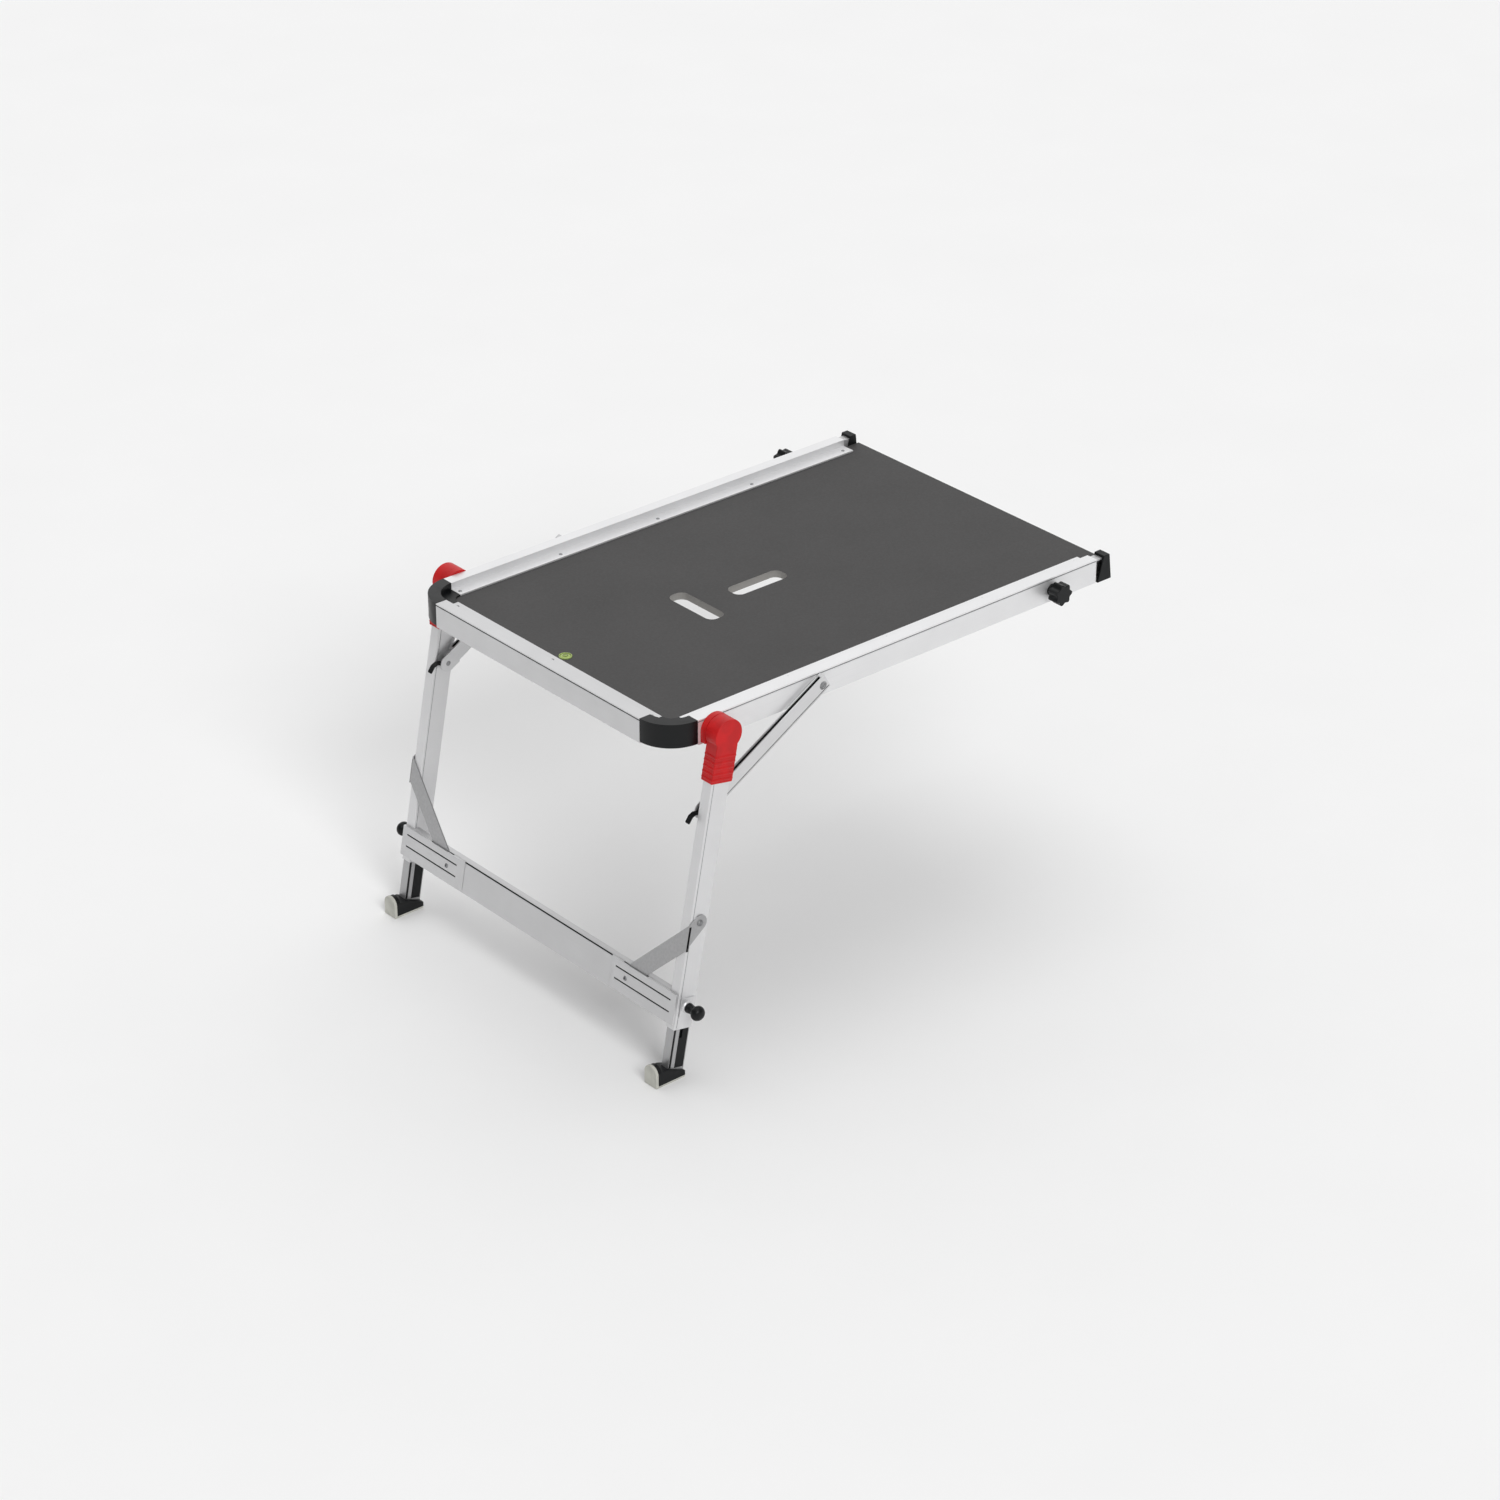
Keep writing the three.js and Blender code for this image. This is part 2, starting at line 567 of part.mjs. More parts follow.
/** The sliding profile: hollow along its front, slotted for the rack along its rear. */
function innerLeg() {
  const { halfDeep, halfWide, wall, top, floor } = INNER;
  const end = innerEnd(floor, -halfDeep);
  const y0 = LEG_MID_Y - halfWide;
  const y1 = LEG_MID_Y + halfWide;
  const section = rectangle(-halfDeep, y0, halfDeep, y1);
  section.holes.push(rectangle(
    wall - halfDeep, y0 + wall + SIDE_GROOVE.deep, RACK.front - wall, y1 - wall - SIDE_GROOVE.deep));
  const grooves = [[y0 - 1, y0 + SIDE_GROOVE.deep], [y1 - SIDE_GROOVE.deep, y1 + 1]].map(
    ([a, b]) => box(SIDE_GROOVE.from, SIDE_GROOVE.to, a, b, -end - 1, 1 - top));
  const below = prismY(outline([
    [-halfDeep - 1, -end - 9], [halfDeep + 1, -end - 9],
    [halfDeep + 1, -innerEnd(floor, halfDeep + 1)], [-halfDeep - 1, -innerEnd(floor, -halfDeep - 1)],
  ]), y0 - 1, y1 + 1);
  return cut(
    prismZ(section, -end, -top),
    box(RACK.front, RACK.rear, y0 - 1, y1 + 1, -RACK.to, -RACK.from), below, ...grooves);
}

/** The black bar through the profile's slot, with a groove for the plunger's pin. */
function rack() {
  const { halfWide } = INNER;
  const { front, rear, from, to } = RACK;
  const inset = 0.2;
  return cut(
    box(front + GAP, rear - GAP, LEG_MID_Y - halfWide + inset, LEG_MID_Y + halfWide - inset,
      GAP - to, -from - GAP),
    box(front - 1, PIN_GROOVE.half, PIN_GROOVE.floor, LEG_MID_Y + halfWide + 1,
      -PIN_GROOVE.to, -PIN_GROOVE.from));
}

/** An upright plate of the foot: straight sides and a round top, from z0 up. */
function roundedPlate(x0, x1, z0, height) {
  const { innerY, outerY } = FOOT;
  const radius = (outerY - innerY) / 2;
  const shape = new THREE.Shape();
  shape.moveTo(innerY, z0);
  shape.lineTo(outerY, z0);
  shape.absarc((innerY + outerY) / 2, height - radius, radius, 0, Math.PI);
  return prismX(shape, x0, x1, 16);
}

/** The wedge-shaped foot, in the object's own frame, with a pocket for the inner leg. */
function foot() {
  const { front, rear, innerY, outerY, height, plate } = FOOT;
  const z0 = SOLE.thick + GAP;
  const wedge = prismY(outline([
    [front, z0], [rear, z0], [rear, 11], [rear - 4, 13], [rear - 32, 24.5], [front, 25.5],
  ]), innerY, outerY);
  const end = innerEnd(0, 0);
  const reach = INNER.halfDeep + GAP;
  const sides = INNER.halfWide + GAP;
  const pocket = box(-reach, reach, LEG_MID_Y - sides, LEG_MID_Y + sides, -end, 60 - end);
  legs.updateMatrixWorld(true);
  pocket.applyMatrix4(legs.matrixWorld);
  const floor = box(front - 9, rear + 9, innerY - 9, outerY + 9, -30, INNER.floor - GAP);
  return cut(
    join(wedge, roundedPlate(front, front + plate, z0, height - 1)), cut(pocket, floor));
}

/** The rubber sole with its tall rounded front. */
function footPad() {
  return join(
    roundedPlate(SOLE.front, FOOT.front - GAP, 0, FOOT.height),
    box(SOLE.front + 3, FOOT.rear, FOOT.innerY, FOOT.outerY, 0, SOLE.thick));
}

addPair('inner_leg', innerLeg(), millAluminium, legs);
addPair('rack', rack(), blackPlastic, legs);
addPair('foot', foot(), blackPlastic);
addPair('foot_pad', footPad(), padRubber);

// ---------------------------------------------------------------- side struts

const strutFoot = {
  x: PIVOT.x - STRUT.at * Math.sin(lean),
  z: PIVOT.z - STRUT.at * Math.cos(lean),
};
const strutLong = Math.hypot(STRUT.topX - strutFoot.x, STRUT.topZ - strutFoot.z);

/** The frame of the struts: origin at their lower bolt, +X up along the strut. */
const struts = new THREE.Group();
struts.position.set(strutFoot.x, 0, strutFoot.z);
struts.rotation.y = -Math.atan2(STRUT.topZ - strutFoot.z, STRUT.topX - strutFoot.x);
bench.add(struts);

/** A flat hollow bar, open along its top, with a round eye at the lower end. */
function strut() {
  const half = STRUT.width / 2;
  const { innerY, outerY, wall, outerWall, under } = STRUT_SHELL;
  const { at, width, deep } = STRUT_GROOVE;
  const slot = STRUT_TOP_SLOT;
  const section = outline([
    [innerY, -under], [outerY, -under],
    [outerY, at - width / 2], [outerY - deep, at - width / 2],
    [outerY - deep, at + width / 2], [outerY, at + width / 2],
    [outerY, half], [innerY, half],
  ]);
  section.holes.push(rectangle(innerY + wall, wall - under, outerY - outerWall, half - wall));
  const hole = STRUT_PIN.radius + GAP;
  return cut(
    join(
      prismX(section, STRUT.channelFrom, strutLong + STRUT.past),
      barY(half, innerY, innerY + wall, 0, 0, 48),
      box(0, STRUT.channelFrom + 1, innerY, innerY + wall, -half, half)),
    barY(hole, innerY - 1, innerY + wall + 1),
    barY(hole, innerY - 1, innerY + wall + 1, strutLong),
    barY(STRUT_WINDOW, innerY + wall + 0.1, outerY + 1, strutLong, 0, 32),
    box(slot.from, strutLong + slot.rest, slot.innerY, slot.outerY, half - wall - 1, half + 1));
}

/** The bolt at the strut's upper end, which runs along the rail as the legs fold. */
function strutBolt() {
  const { innerY, wall } = STRUT_SHELL;
  const headY = innerY + wall + GAP;
  return join(
    barY(STRUT_PIN.radius, innerY - 0.4, headY + 1, strutLong),
    barY(5.6, headY, headY + 5.2, strutLong, 0, 6));
}

/** The release latch: an eye on the strut's lower pin with a curved thumb lever. */
function latch() {
  const { eye, thick, outerY } = LATCH;
  const y0 = STRUT_SHELL.innerY + STRUT_SHELL.wall + GAP;
  const lever = outline([
    [-6, 7], [-14, 13.5], [-22, 14.5], [-31, 10.5], [-32.4, 8.6], [-30.6, 8.2],
    [-22, 12], [-15, 11], [-9, 2],
  ]);
  return cut(
    join(prismY(lever, y0, outerY), barY(eye, y0, y0 + thick)),
    barY(STRUT_PIN.shoulder + GAP, y0 - 1, outerY + 1));
}

addPair('strut', strut(), anodised, struts);
addPair('strut_bolt', strutBolt(), steel, struts);
addPair('latch', latch(), blackPlastic, struts);

// ---------------------------------------------------------------- rear extensions

/** A channel inside the rail's box, open outwards. */
function rearExtension() {
  const clear = RAIL_WALL + GAP;
  const y0 = boxInnerY + clear;
  const y1 = RAIL_OUTER_Y - clear;
  const z0 = RAIL_BOTTOM + clear;
  const z1 = RAIL_TOP - clear;
  const { front, rear, wall } = EXTENSION;
  return prismX(outline([
    [y0, z0], [y1, z0], [y1, z0 + wall], [y0 + wall, z0 + wall],
    [y0 + wall, z1 - wall], [y1, z1 - wall], [y1, z1], [y0, z1],
  ]), front, rear);
}

/** A boot over the extension's end, its rear face leaning forward. */
function rearFoot() {
  const { front, rake, rear, lean: slant, innerY, outerY, top } = REAR_FOOT;
  const boot = prismY(outline([
    [front, STEP_LEVEL], [rear, STEP_LEVEL], [rear - slant, top], [front + rake, top],
  ]), innerY, outerY);
  return cut(boot, box(
    front - 1, EXTENSION.rear + GAP, boxInnerY + RAIL_WALL, RAIL_OUTER_Y - RAIL_WALL,
    RAIL_BOTTOM + RAIL_WALL, RAIL_TOP - RAIL_WALL));
}

function knobBush() {
  const bore = STAR.stud + GAP;
  const y0 = RAIL_OUTER_Y + GAP;
  return turnedY(
    [[bore, y0], [10, y0], [10, y0 + 4], [bore, y0 + 4], [bore, y0]], STAR.x, PIVOT.z);
}

/** A lobed clamping knob with its stud, which presses on the extension's web. */
function starKnob() {
  const webY = boxInnerY + RAIL_WALL + GAP + EXTENSION.wall;
  const points = [];
  const perLobe = 8;
  for (let i = 0; i < STAR.lobes * perLobe; i += 1) {
    const angle = (2 * Math.PI * i) / (STAR.lobes * perLobe);
    const radius = STAR.radius - (STAR.valley / 2) * (1 - Math.cos(STAR.lobes * angle));
    points.push([radius * Math.cos(angle), radius * Math.sin(angle)]);
  }
  return join(
    prismY(outline(points), STAR.from, STAR.to),
    barY(9, RAIL_OUTER_Y + 4.6, STAR.from + 1),
    barY(STAR.stud, webY + GAP, STAR.from + 1, 0, 0, 16),
  ).translate(STAR.x, 0, PIVOT.z);
}

addPair('rear_extension', rearExtension(), millAluminium);
addPair('rear_foot', rearFoot(), blackPlastic);
addPair('knob_bush', knobBush(), blackPlastic);
addPair('star_knob', starKnob(), blackPlastic);

export default bench;
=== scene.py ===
"""Stair work platform: finishes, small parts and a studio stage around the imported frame."""

import json
import math

import bmesh
import bpy
from mathutils import Matrix, Vector


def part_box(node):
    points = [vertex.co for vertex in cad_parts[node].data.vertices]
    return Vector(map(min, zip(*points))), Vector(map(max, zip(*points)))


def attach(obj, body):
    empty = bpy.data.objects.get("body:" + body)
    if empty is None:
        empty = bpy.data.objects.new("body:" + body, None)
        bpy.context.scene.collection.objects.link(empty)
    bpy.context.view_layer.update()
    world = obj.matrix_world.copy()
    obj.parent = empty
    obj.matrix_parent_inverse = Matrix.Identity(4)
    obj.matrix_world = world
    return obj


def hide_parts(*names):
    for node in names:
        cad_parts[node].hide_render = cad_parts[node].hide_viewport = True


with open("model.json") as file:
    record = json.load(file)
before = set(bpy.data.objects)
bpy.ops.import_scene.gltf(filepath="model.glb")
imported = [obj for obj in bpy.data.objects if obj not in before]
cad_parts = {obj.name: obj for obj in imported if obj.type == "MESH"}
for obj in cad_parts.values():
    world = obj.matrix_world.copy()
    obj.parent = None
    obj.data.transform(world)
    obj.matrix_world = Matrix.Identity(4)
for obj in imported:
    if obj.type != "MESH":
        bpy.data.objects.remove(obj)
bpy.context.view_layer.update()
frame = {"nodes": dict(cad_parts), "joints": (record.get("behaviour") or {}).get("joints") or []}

bl_info = {
    "name": "Stair Work Platform",
    "version": (1, 0, 0),
    "blender": (4, 5, 0),
    "location": "3D View > Sidebar > Platform",
    "description": "Builds the finishes, fasteners and stage of a folding stair work platform",
    "category": "Add Mesh",
}

MM = 0.001
SIDES = {"left": 1, "right": -1}

# ---------------------------------------------------------------- places taken from the frame


def joint_named(name):
    """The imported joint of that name."""
    return next(joint for joint in frame["joints"] if joint["name"] == name)


PIVOT = Vector(joint_named("leg_fold")["pos_m"])
LEG_SLIDE = Vector(joint_named("inner_leg_slide_left")["axis"])
LEG_LEAN = math.atan2(-LEG_SLIDE.x, -LEG_SLIDE.z)
STRUT_FOOT = Vector(joint_named("strut_pivot_left")["pos_m"])
STRUT_RUN = sum(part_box("strut_bolt_left"), Vector()) / 2 - STRUT_FOOT
STRUT_RISE = math.atan2(STRUT_RUN.z, STRUT_RUN.x)

RAIL_LOW, RAIL_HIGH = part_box("side_rail_left")
FRONT_LOW, FRONT_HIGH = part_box("front_rail")
CAP_LOW, CAP_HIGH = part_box("leg_cap_left")
TUBE_LOW, TUBE_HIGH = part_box("leg_tube_left")
INNER_LOW, INNER_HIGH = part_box("inner_leg_left")
STRUT_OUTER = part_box("strut_left")[1].y
KNOB_LOW, KNOB_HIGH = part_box("plunger_knob_left")
LEVEL_LOW, LEVEL_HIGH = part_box("level_housing")

# ---------------------------------------------------------------- places the frame does not give

# All in millimetres. On the leg pair and the inner legs they are in the leg's own frame: "down" is
# how far below the pivot along the leg, and X runs from the leg's middle line to its back.
# The grooves are filled by strips, most of them painted shade. "In" is how far a strip's middle
# lies behind the part's face, "short" is how much shorter it is than the part.

# Dark strips of painted shade in the grooves that face the front: rail, crossbar and brackets.
FRONT_STRIP_IN, FRONT_STRIP_DEEP = 0.5, 0.8
RAIL_STRIP_SHORT, CROSSBAR_STRIP_SHORT, BRACKET_STRIP_SHORT = 1, 2, 0.4

# Rounding of a strip's edges, as a share of its smallest measure.
STRIP_ROUND = 0.3

# Side and front rails: the groove along their outer sides and its strip of painted shade, how far
# the flanges' tops lie below the corner caps' tops, and how far the rivets are from the rails'
# ends and inner edges.
RAIL_GROOVE_LEVEL, RAIL_GROOVE_TALL = 566, 1.7
SIDE_GROOVE_IN, SIDE_GROOVE_DEEP = 0.75, 0.3
FLANGE_BELOW_CAP = 11.5
SIDE_RIVET_ENDS, SIDE_RIVET_INSET = (6.7, 14), 9.5
FRONT_RIVET_ENDS, FRONT_RIVET_INSET, FRONT_RIVETS = 11.2, 10, 3

# Spirit level: how far above its housing the marks start, their (radius, height) profiles, and
# how far the bubble is off centre.
MARK_LIFT = 0.05
RING_PROFILE = ((3.4, 0), (3.8, 0.05), (4.1, 0.25), (3.8, 0.4), (3.4, 0.4), (3.4, 0))
BUBBLE_PROFILE = ((0, 0.1), (1.9, 0.15), (2.4, 0.4), (1.9, 0.75), (0, 0.95))
BUBBLE_SHIFT = (0.6, -0.4)

# Red sleeves: how far down the first band is, and the bands' spacing, size and rounding.
BAND_DOWN, BAND_PITCH, BAND_TALL, BAND_DEEP, BAND_ROUND = 33, 9, 4.2, 40, 1.4

# Leg tubes: the grey line of painted shade in a fine groove along both their sides, and how far
# down its middle is.
LEG_LINE_X, LEG_LINE_DOWN, LEG_LINE_LONG = -12.8, 230, 480
LEG_LINE_IN, LEG_LINE_WIDE, LEG_LINE_DEEP = 0.35, 0.8, 0.25

# Crossbar and its end brackets: their front faces' X, their grooves with strips of painted shade
# and the brackets' screws, whose profile is (radius, height) above the face.
CROSSBAR_FRONT, CROSSBAR_GROOVE_DOWN, CROSSBAR_GROOVE_TALL = -17.5, 416.5, 2.3
BRACKET_FRONT, BRACKET_GROOVES_DOWN, BRACKET_GROOVE_TALL = -22.5, (426.7, 446.2), 2.2
BRACKET_GROOVES_SPAN = (196.7, 325)
SCREW_PLACE = (-22.4, 221, -437)
SCREW_PROFILE = ((0, -0.6), (3.6, -0.6), (3.8, 0.2), (3.0, 1.3), (1.6, 1.8), (1.4, 0.5), (0, 0.5))

# Braces: a dark strip of painted shade at the fold of each tab, on the tab's outer face, where the
# bend shows as a dark gap.
BRACE_GAP_DOWN, BRACE_GAP_PROUD, BRACE_TAB_THICK = (303, 343), 0.4, 2.2
BRACE_GAP_WIDE, BRACE_GAP_DEEP = 3.8, 0.5

# Inner legs: black inlays in both sides, and a steel line between two studs on the outer side.
INLAY_X, INLAY_DOWN = -12.45, (302, 538)
INLAY_IN, INLAY_WIDE, INLAY_DEEP = 0.6, 3.9, 0.9
PIN_LINE_X, PIN_LINE_DOWN = 5.3, (348.5, 488.5)
PIN_LINE_IN, PIN_LINE_WIDE, PIN_LINE_DEEP = 2.9, 1.3, 0.6
STUD_PROFILE, STUD_IN = ((0, 0), (2.4, 0), (2.4, 1.6), (1.9, 2.1), (0, 2.1)), 3.2

# Plungers: (radius, height) up the mushroom knob's neck; the neck's radius where it ends, and how
# far that is below the knob's end; how much narrower than the knob its head is, and how far below
# its end; and the bore that the pin sits in.
KNOB_NECK, KNOB_NECK_END = ((2.8, 0), (8.4, 0), (7.6, 5), (7, 9)), (7.2, 16)
KNOB_HEAD = ((0.4, 12), (0, 7), (2.6, 2.4), (7, 0))
KNOB_BORE = ((0, 5), (2.8, 5), (2.8, 0))
KNOB_ROUND = 2.2

# Struts: dark strips of painted shade, one in the groove along the outer side ("line") and one in
# the slot along the top ("slot"). The strips' start above the lower pin, their end past the upper
# bolt, how far in from the outer side and how far off the strut's middle line they lie, and their
# width and height.
STRUT_STRIPS = {
    "line": (19, 9, 0.75, -8.2, 0.4, 1.4),
    "slot": (22.5, 3.5, 4.3, 12.7, 5.2, 0.6),
}


def leg_frame_matrix(y=0.0):
    """The leg pair's own frame: origin at the pivot, -Z down the leg, -X to its front."""
    return Matrix.Translation((PIVOT.x, y, PIVOT.z)) @ Matrix.Rotation(LEG_LEAN, 4, "Y")


def strut_frame_matrix(y=0.0):
    """A strut's own frame: origin at its lower pin, +X up the strut."""
    place = Matrix.Translation((STRUT_FOOT.x, y, STRUT_FOOT.z))
    return place @ Matrix.Rotation(-STRUT_RISE, 4, "Y")


def srgb(hexadecimal):
    """Linear RGBA of an sRGB hex colour such as "c8c8c8"."""
    channels = [int(hexadecimal[i:i + 2], 16) / 255 for i in (0, 2, 4)]
    linear = [c / 12.92 if c <= 0.04045 else ((c + 0.055) / 1.055) ** 2.4 for c in channels]
    return (*linear, 1.0)


# ---------------------------------------------------------------- sizes and colours


class PlatformSizes(bpy.types.PropertyGroup):
    """Sizes of the fasteners and edges that the frame leaves open."""

    rivet_radius: bpy.props.FloatProperty(
        name="Rivet radius", description="Radius of a flange rivet's head",
        default=3.0 * MM, min=1.0 * MM, unit="LENGTH")
    rivet_proud: bpy.props.FloatProperty(
        name="Rivet height", description="How far a rivet's head stands above its flange",
        default=1.0 * MM, min=0.2 * MM, unit="LENGTH")
    rail_rivets: bpy.props.IntProperty(
        name="Rivets per side rail", description="Rivets along each side rail's flange",
        default=5, min=2)
    edge_metal: bpy.props.FloatProperty(
        name="Metal edge", description="Rounding of an extruded edge",
        default=0.5 * MM, min=0.0, unit="LENGTH")
    edge_plastic: bpy.props.FloatProperty(
        name="Plastic edge", description="Rounding of a moulded edge",
        default=1.2 * MM, min=0.0, unit="LENGTH")
    sleeve_bands: bpy.props.IntProperty(
        name="Sleeve bands", description="Raised bands across a red sleeve",
        default=5, min=1)
    band_proud: bpy.props.FloatProperty(
        name="Band height", description="How far a sleeve's bands stand out",
        default=0.9 * MM, min=0.2 * MM, unit="LENGTH")


class PlatformColours(bpy.types.PropertyGroup):
    """Colours a user may want to change, as linear RGB."""

    deck: bpy.props.FloatVectorProperty(
        name="Deck", description="Phenolic film on the deck board", subtype="COLOR",
        size=3, min=0, max=1, default=srgb("424141")[:3])
    moulded_red: bpy.props.FloatVectorProperty(
        name="Red", description="Red moulded caps and plates", subtype="COLOR",
        size=3, min=0, max=1, default=srgb("c4181b")[:3])
    moulded_black: bpy.props.FloatVectorProperty(
        name="Black", description="Black moulded parts", subtype="COLOR",
        size=3, min=0, max=1, default=srgb("0b0d0f")[:3])


# Every CAD part that stays in the visual model, a pair once: its finish, the rounding of its
# edges in millimetres or as the name of a size, and the rounding's segments.
CAD_PARTS = {
    "deck_panel": ("deck", 0.8, 2),
    "crossmember_front": ("rail_y", 0.4, 2),
    "crossmember_rear": ("rail_y", 0.4, 2),
    "side_rail": ("rail_x", "edge_metal", 2),
    "front_rail": ("rail_y", "edge_metal", 2),
    "corner_cap": ("black_soft", 2.0, 3),
    "level_housing": ("level_cup", 0.3, 2),
    "level_vial": ("level_vial", 0.2, 2),
    "hinge_bracket": ("red", "edge_plastic", 3),
    "pivot_bolt": ("steel", 0.3, 2),
    "leg_cap": ("red", "edge_plastic", 3),
    "leg_tube": ("leg", "edge_metal", 2),
    "crossbar": ("rail_y", "edge_metal", 2),
    "crossbar_bracket": ("rail_y", "edge_metal", 2),
    "brace": ("zinc", 0.4, 2),
    "brace_rivet": ("steel", 0.2, 2),
    "strut_pin": ("steel", 0.3, 2),
    "plunger_mount": ("leg", 0.4, 2),
    "inner_leg": ("mill", 0.35, 2),
    "rack": ("black", 0.25, 2),
    "foot": ("black", 0.9, 3),
    "foot_pad": ("rubber", 0.9, 3),
    "plunger_pin": ("steel", 0, 2),
    "strut": ("strut", 0.35, 2),
    "strut_bolt": ("steel", 0.3, 2),
    "latch": ("black", 0.5, 2),
    "rear_extension": ("mill_x", 0.3, 2),
    "rear_foot": ("black", 1.0, 3),
    "star_knob": ("black_soft", 1.4, 3),
    "knob_bush": ("black", 0.4, 2),
}


# ---------------------------------------------------------------- materials


def add_node(tree, kind, settings=None, links=None):
    """Adds a node. Settings are attributes or input values, links are inputs fed by sockets."""
    node = tree.nodes.new(kind)
    for key, value in (settings or {}).items():
        if isinstance(key, str) and hasattr(node, key) and key not in node.inputs:
            setattr(node, key, value)
        else:
            node.inputs[key].default_value = value
    for key, socket in (links or {}).items():
        tree.links.new(socket, node.inputs[key])
    return node


def new_material(name, settings):
    """An empty material with one Principled BSDF, and its tree."""
    material = bpy.data.materials.new(name)
    material.use_nodes = True
    tree = material.node_tree
    tree.nodes.clear()
    shader = add_node(tree, "ShaderNodeBsdfPrincipled", settings)
    add_node(tree, "ShaderNodeOutputMaterial", links={"Surface": shader.outputs["BSDF"]})
    return material, tree, shader


def object_coordinates(tree, stretch=(1, 1, 1), turn=(0, 0, 0)):
    """Object coordinates, turned and then stretched for a pattern that runs one way."""
    coordinates = add_node(tree, "ShaderNodeTexCoord")
    turned = add_node(
        tree, "ShaderNodeMapping", {"Rotation": turn}, {"Vector": coordinates.outputs["Object"]})
    return add_node(
        tree, "ShaderNodeMapping", {"Scale": stretch}, {"Vector": turned.outputs["Vector"]})


def tinted(tree, factor, dark, light):
    """A colour that runs from dark to light with a 0..1 factor."""
    return add_node(
        tree, "ShaderNodeMix", {"data_type": "RGBA", 6: dark, 7: light}, {0: factor})


def bump(tree, shader, height, distance_mm, strength):
    """Relief of that depth on the shader's normal."""
    node = add_node(
        tree, "ShaderNodeBump", {"Strength": strength, "Distance": distance_mm * MM},
        {"Height": height})
    tree.links.new(node.outputs["Normal"], shader.inputs["Normal"])


def ranged(tree, value, low, high, start=0.0, end=1.0):
    """Maps a value from start..end to low..high."""
    return add_node(
        tree, "ShaderNodeMapRange",
        {"From Min": start, "From Max": end, "To Min": low, "To Max": high},
        {"Value": value}).outputs["Result"]


def aluminium(name, light, dark, roughness, along, lean, metallic=0.6):
    """Extruded aluminium: fine die lines run along the profile and break its reflections up."""
    line_mm = 0.9  # real die lines are about 0.2 mm apart, drawn coarser so that they show
    cloud_mm = 60
    material, tree, shader = new_material(name, {"Metallic": metallic, "Roughness": roughness})
    across = 1 / (line_mm * MM)
    stretch = [across * 0.006 if axis == along else across for axis in "XYZ"]
    place = object_coordinates(tree, stretch, (0, lean, 0))
    lines = add_node(
        tree, "ShaderNodeTexNoise", {"Scale": 1.0, "Detail": 3.0, "Roughness": 0.6},
        {"Vector": place.outputs["Vector"]})
    wide = object_coordinates(tree)
    clouds = add_node(
        tree, "ShaderNodeTexNoise", {"Scale": 1 / (cloud_mm * MM), "Detail": 4.0},
        {"Vector": wide.outputs["Vector"]})
    both = add_node(
        tree, "ShaderNodeMath", {"operation": "MULTIPLY"},
        {0: lines.outputs["Fac"], 1: clouds.outputs["Fac"]})
    tone = tinted(tree, ranged(tree, both.outputs[0], 0, 1, 0.05, 0.5), dark, light)
    tree.links.new(tone.outputs[2], shader.inputs["Base Color"])
    gloss = ranged(tree, lines.outputs["Fac"], roughness - 0.06, roughness + 0.08, 0.3, 0.7)
    tree.links.new(gloss, shader.inputs["Roughness"])
    bump(tree, shader, lines.outputs["Fac"], 0.02, 0.35)
    return material


def phenolic_film(colour):
    """Phenolic film on plywood: the press cloth leaves a fine pebble, edges are sealed grey."""
    pebble_mm, grain_mm, cloud_mm = 1.6, 3.5, 140
    material, tree, shader = new_material(
        "phenolic_filmed_plywood", {"Roughness": 0.62, "IOR": 1.5, "Specular IOR Level": 0.35})
    place = object_coordinates(tree)
    pebble = add_node(
        tree, "ShaderNodeTexVoronoi", {"Scale": 1 / (pebble_mm * MM), "Randomness": 0.9},
        {"Vector": place.outputs["Vector"]})
    grain = add_node(
        tree, "ShaderNodeTexNoise",
        {"Scale": 1 / (grain_mm * MM), "Detail": 5.0, "Roughness": 0.65},
        {"Vector": place.outputs["Vector"]})
    clouds = add_node(
        tree, "ShaderNodeTexNoise", {"Scale": 1 / (cloud_mm * MM), "Detail": 3.0},
        {"Vector": place.outputs["Vector"]})
    mixed = add_node(
        tree, "ShaderNodeMath", {"operation": "ADD"},
        {0: grain.outputs["Fac"], 1: clouds.outputs["Fac"]})
    base = Vector(colour)
    tone = tinted(
        tree, ranged(tree, mixed.outputs[0], 0, 1, 0.75, 1.25),
        (*(base * 0.93), 1), (*(base * 1.08), 1))
    facing = add_node(
        tree, "ShaderNodeSeparateXYZ", {},
        {"Vector": add_node(tree, "ShaderNodeNewGeometry").outputs["True Normal"]})
    upright = add_node(
        tree, "ShaderNodeMath", {"operation": "ABSOLUTE"}, {0: facing.outputs["Z"]})
    sawn = ranged(tree, upright.outputs[0], 1, 0, 0.1, 0.6)
    sealed = add_node(
        tree, "ShaderNodeMix", {"data_type": "RGBA", 7: srgb("8e8c89")},
        {0: sawn, 6: tone.outputs[2]})
    tree.links.new(sealed.outputs[2], shader.inputs["Base Color"])
    tree.links.new(
        ranged(tree, grain.outputs["Fac"], 0.55, 0.72, 0.3, 0.7), shader.inputs["Roughness"])
    relief = add_node(
        tree, "ShaderNodeMath", {"operation": "MULTIPLY_ADD", 1: 0.6},
        {0: pebble.outputs["Distance"], 2: grain.outputs["Fac"]})
    bump(tree, shader, relief.outputs[0], 0.12, 0.5)
    return material


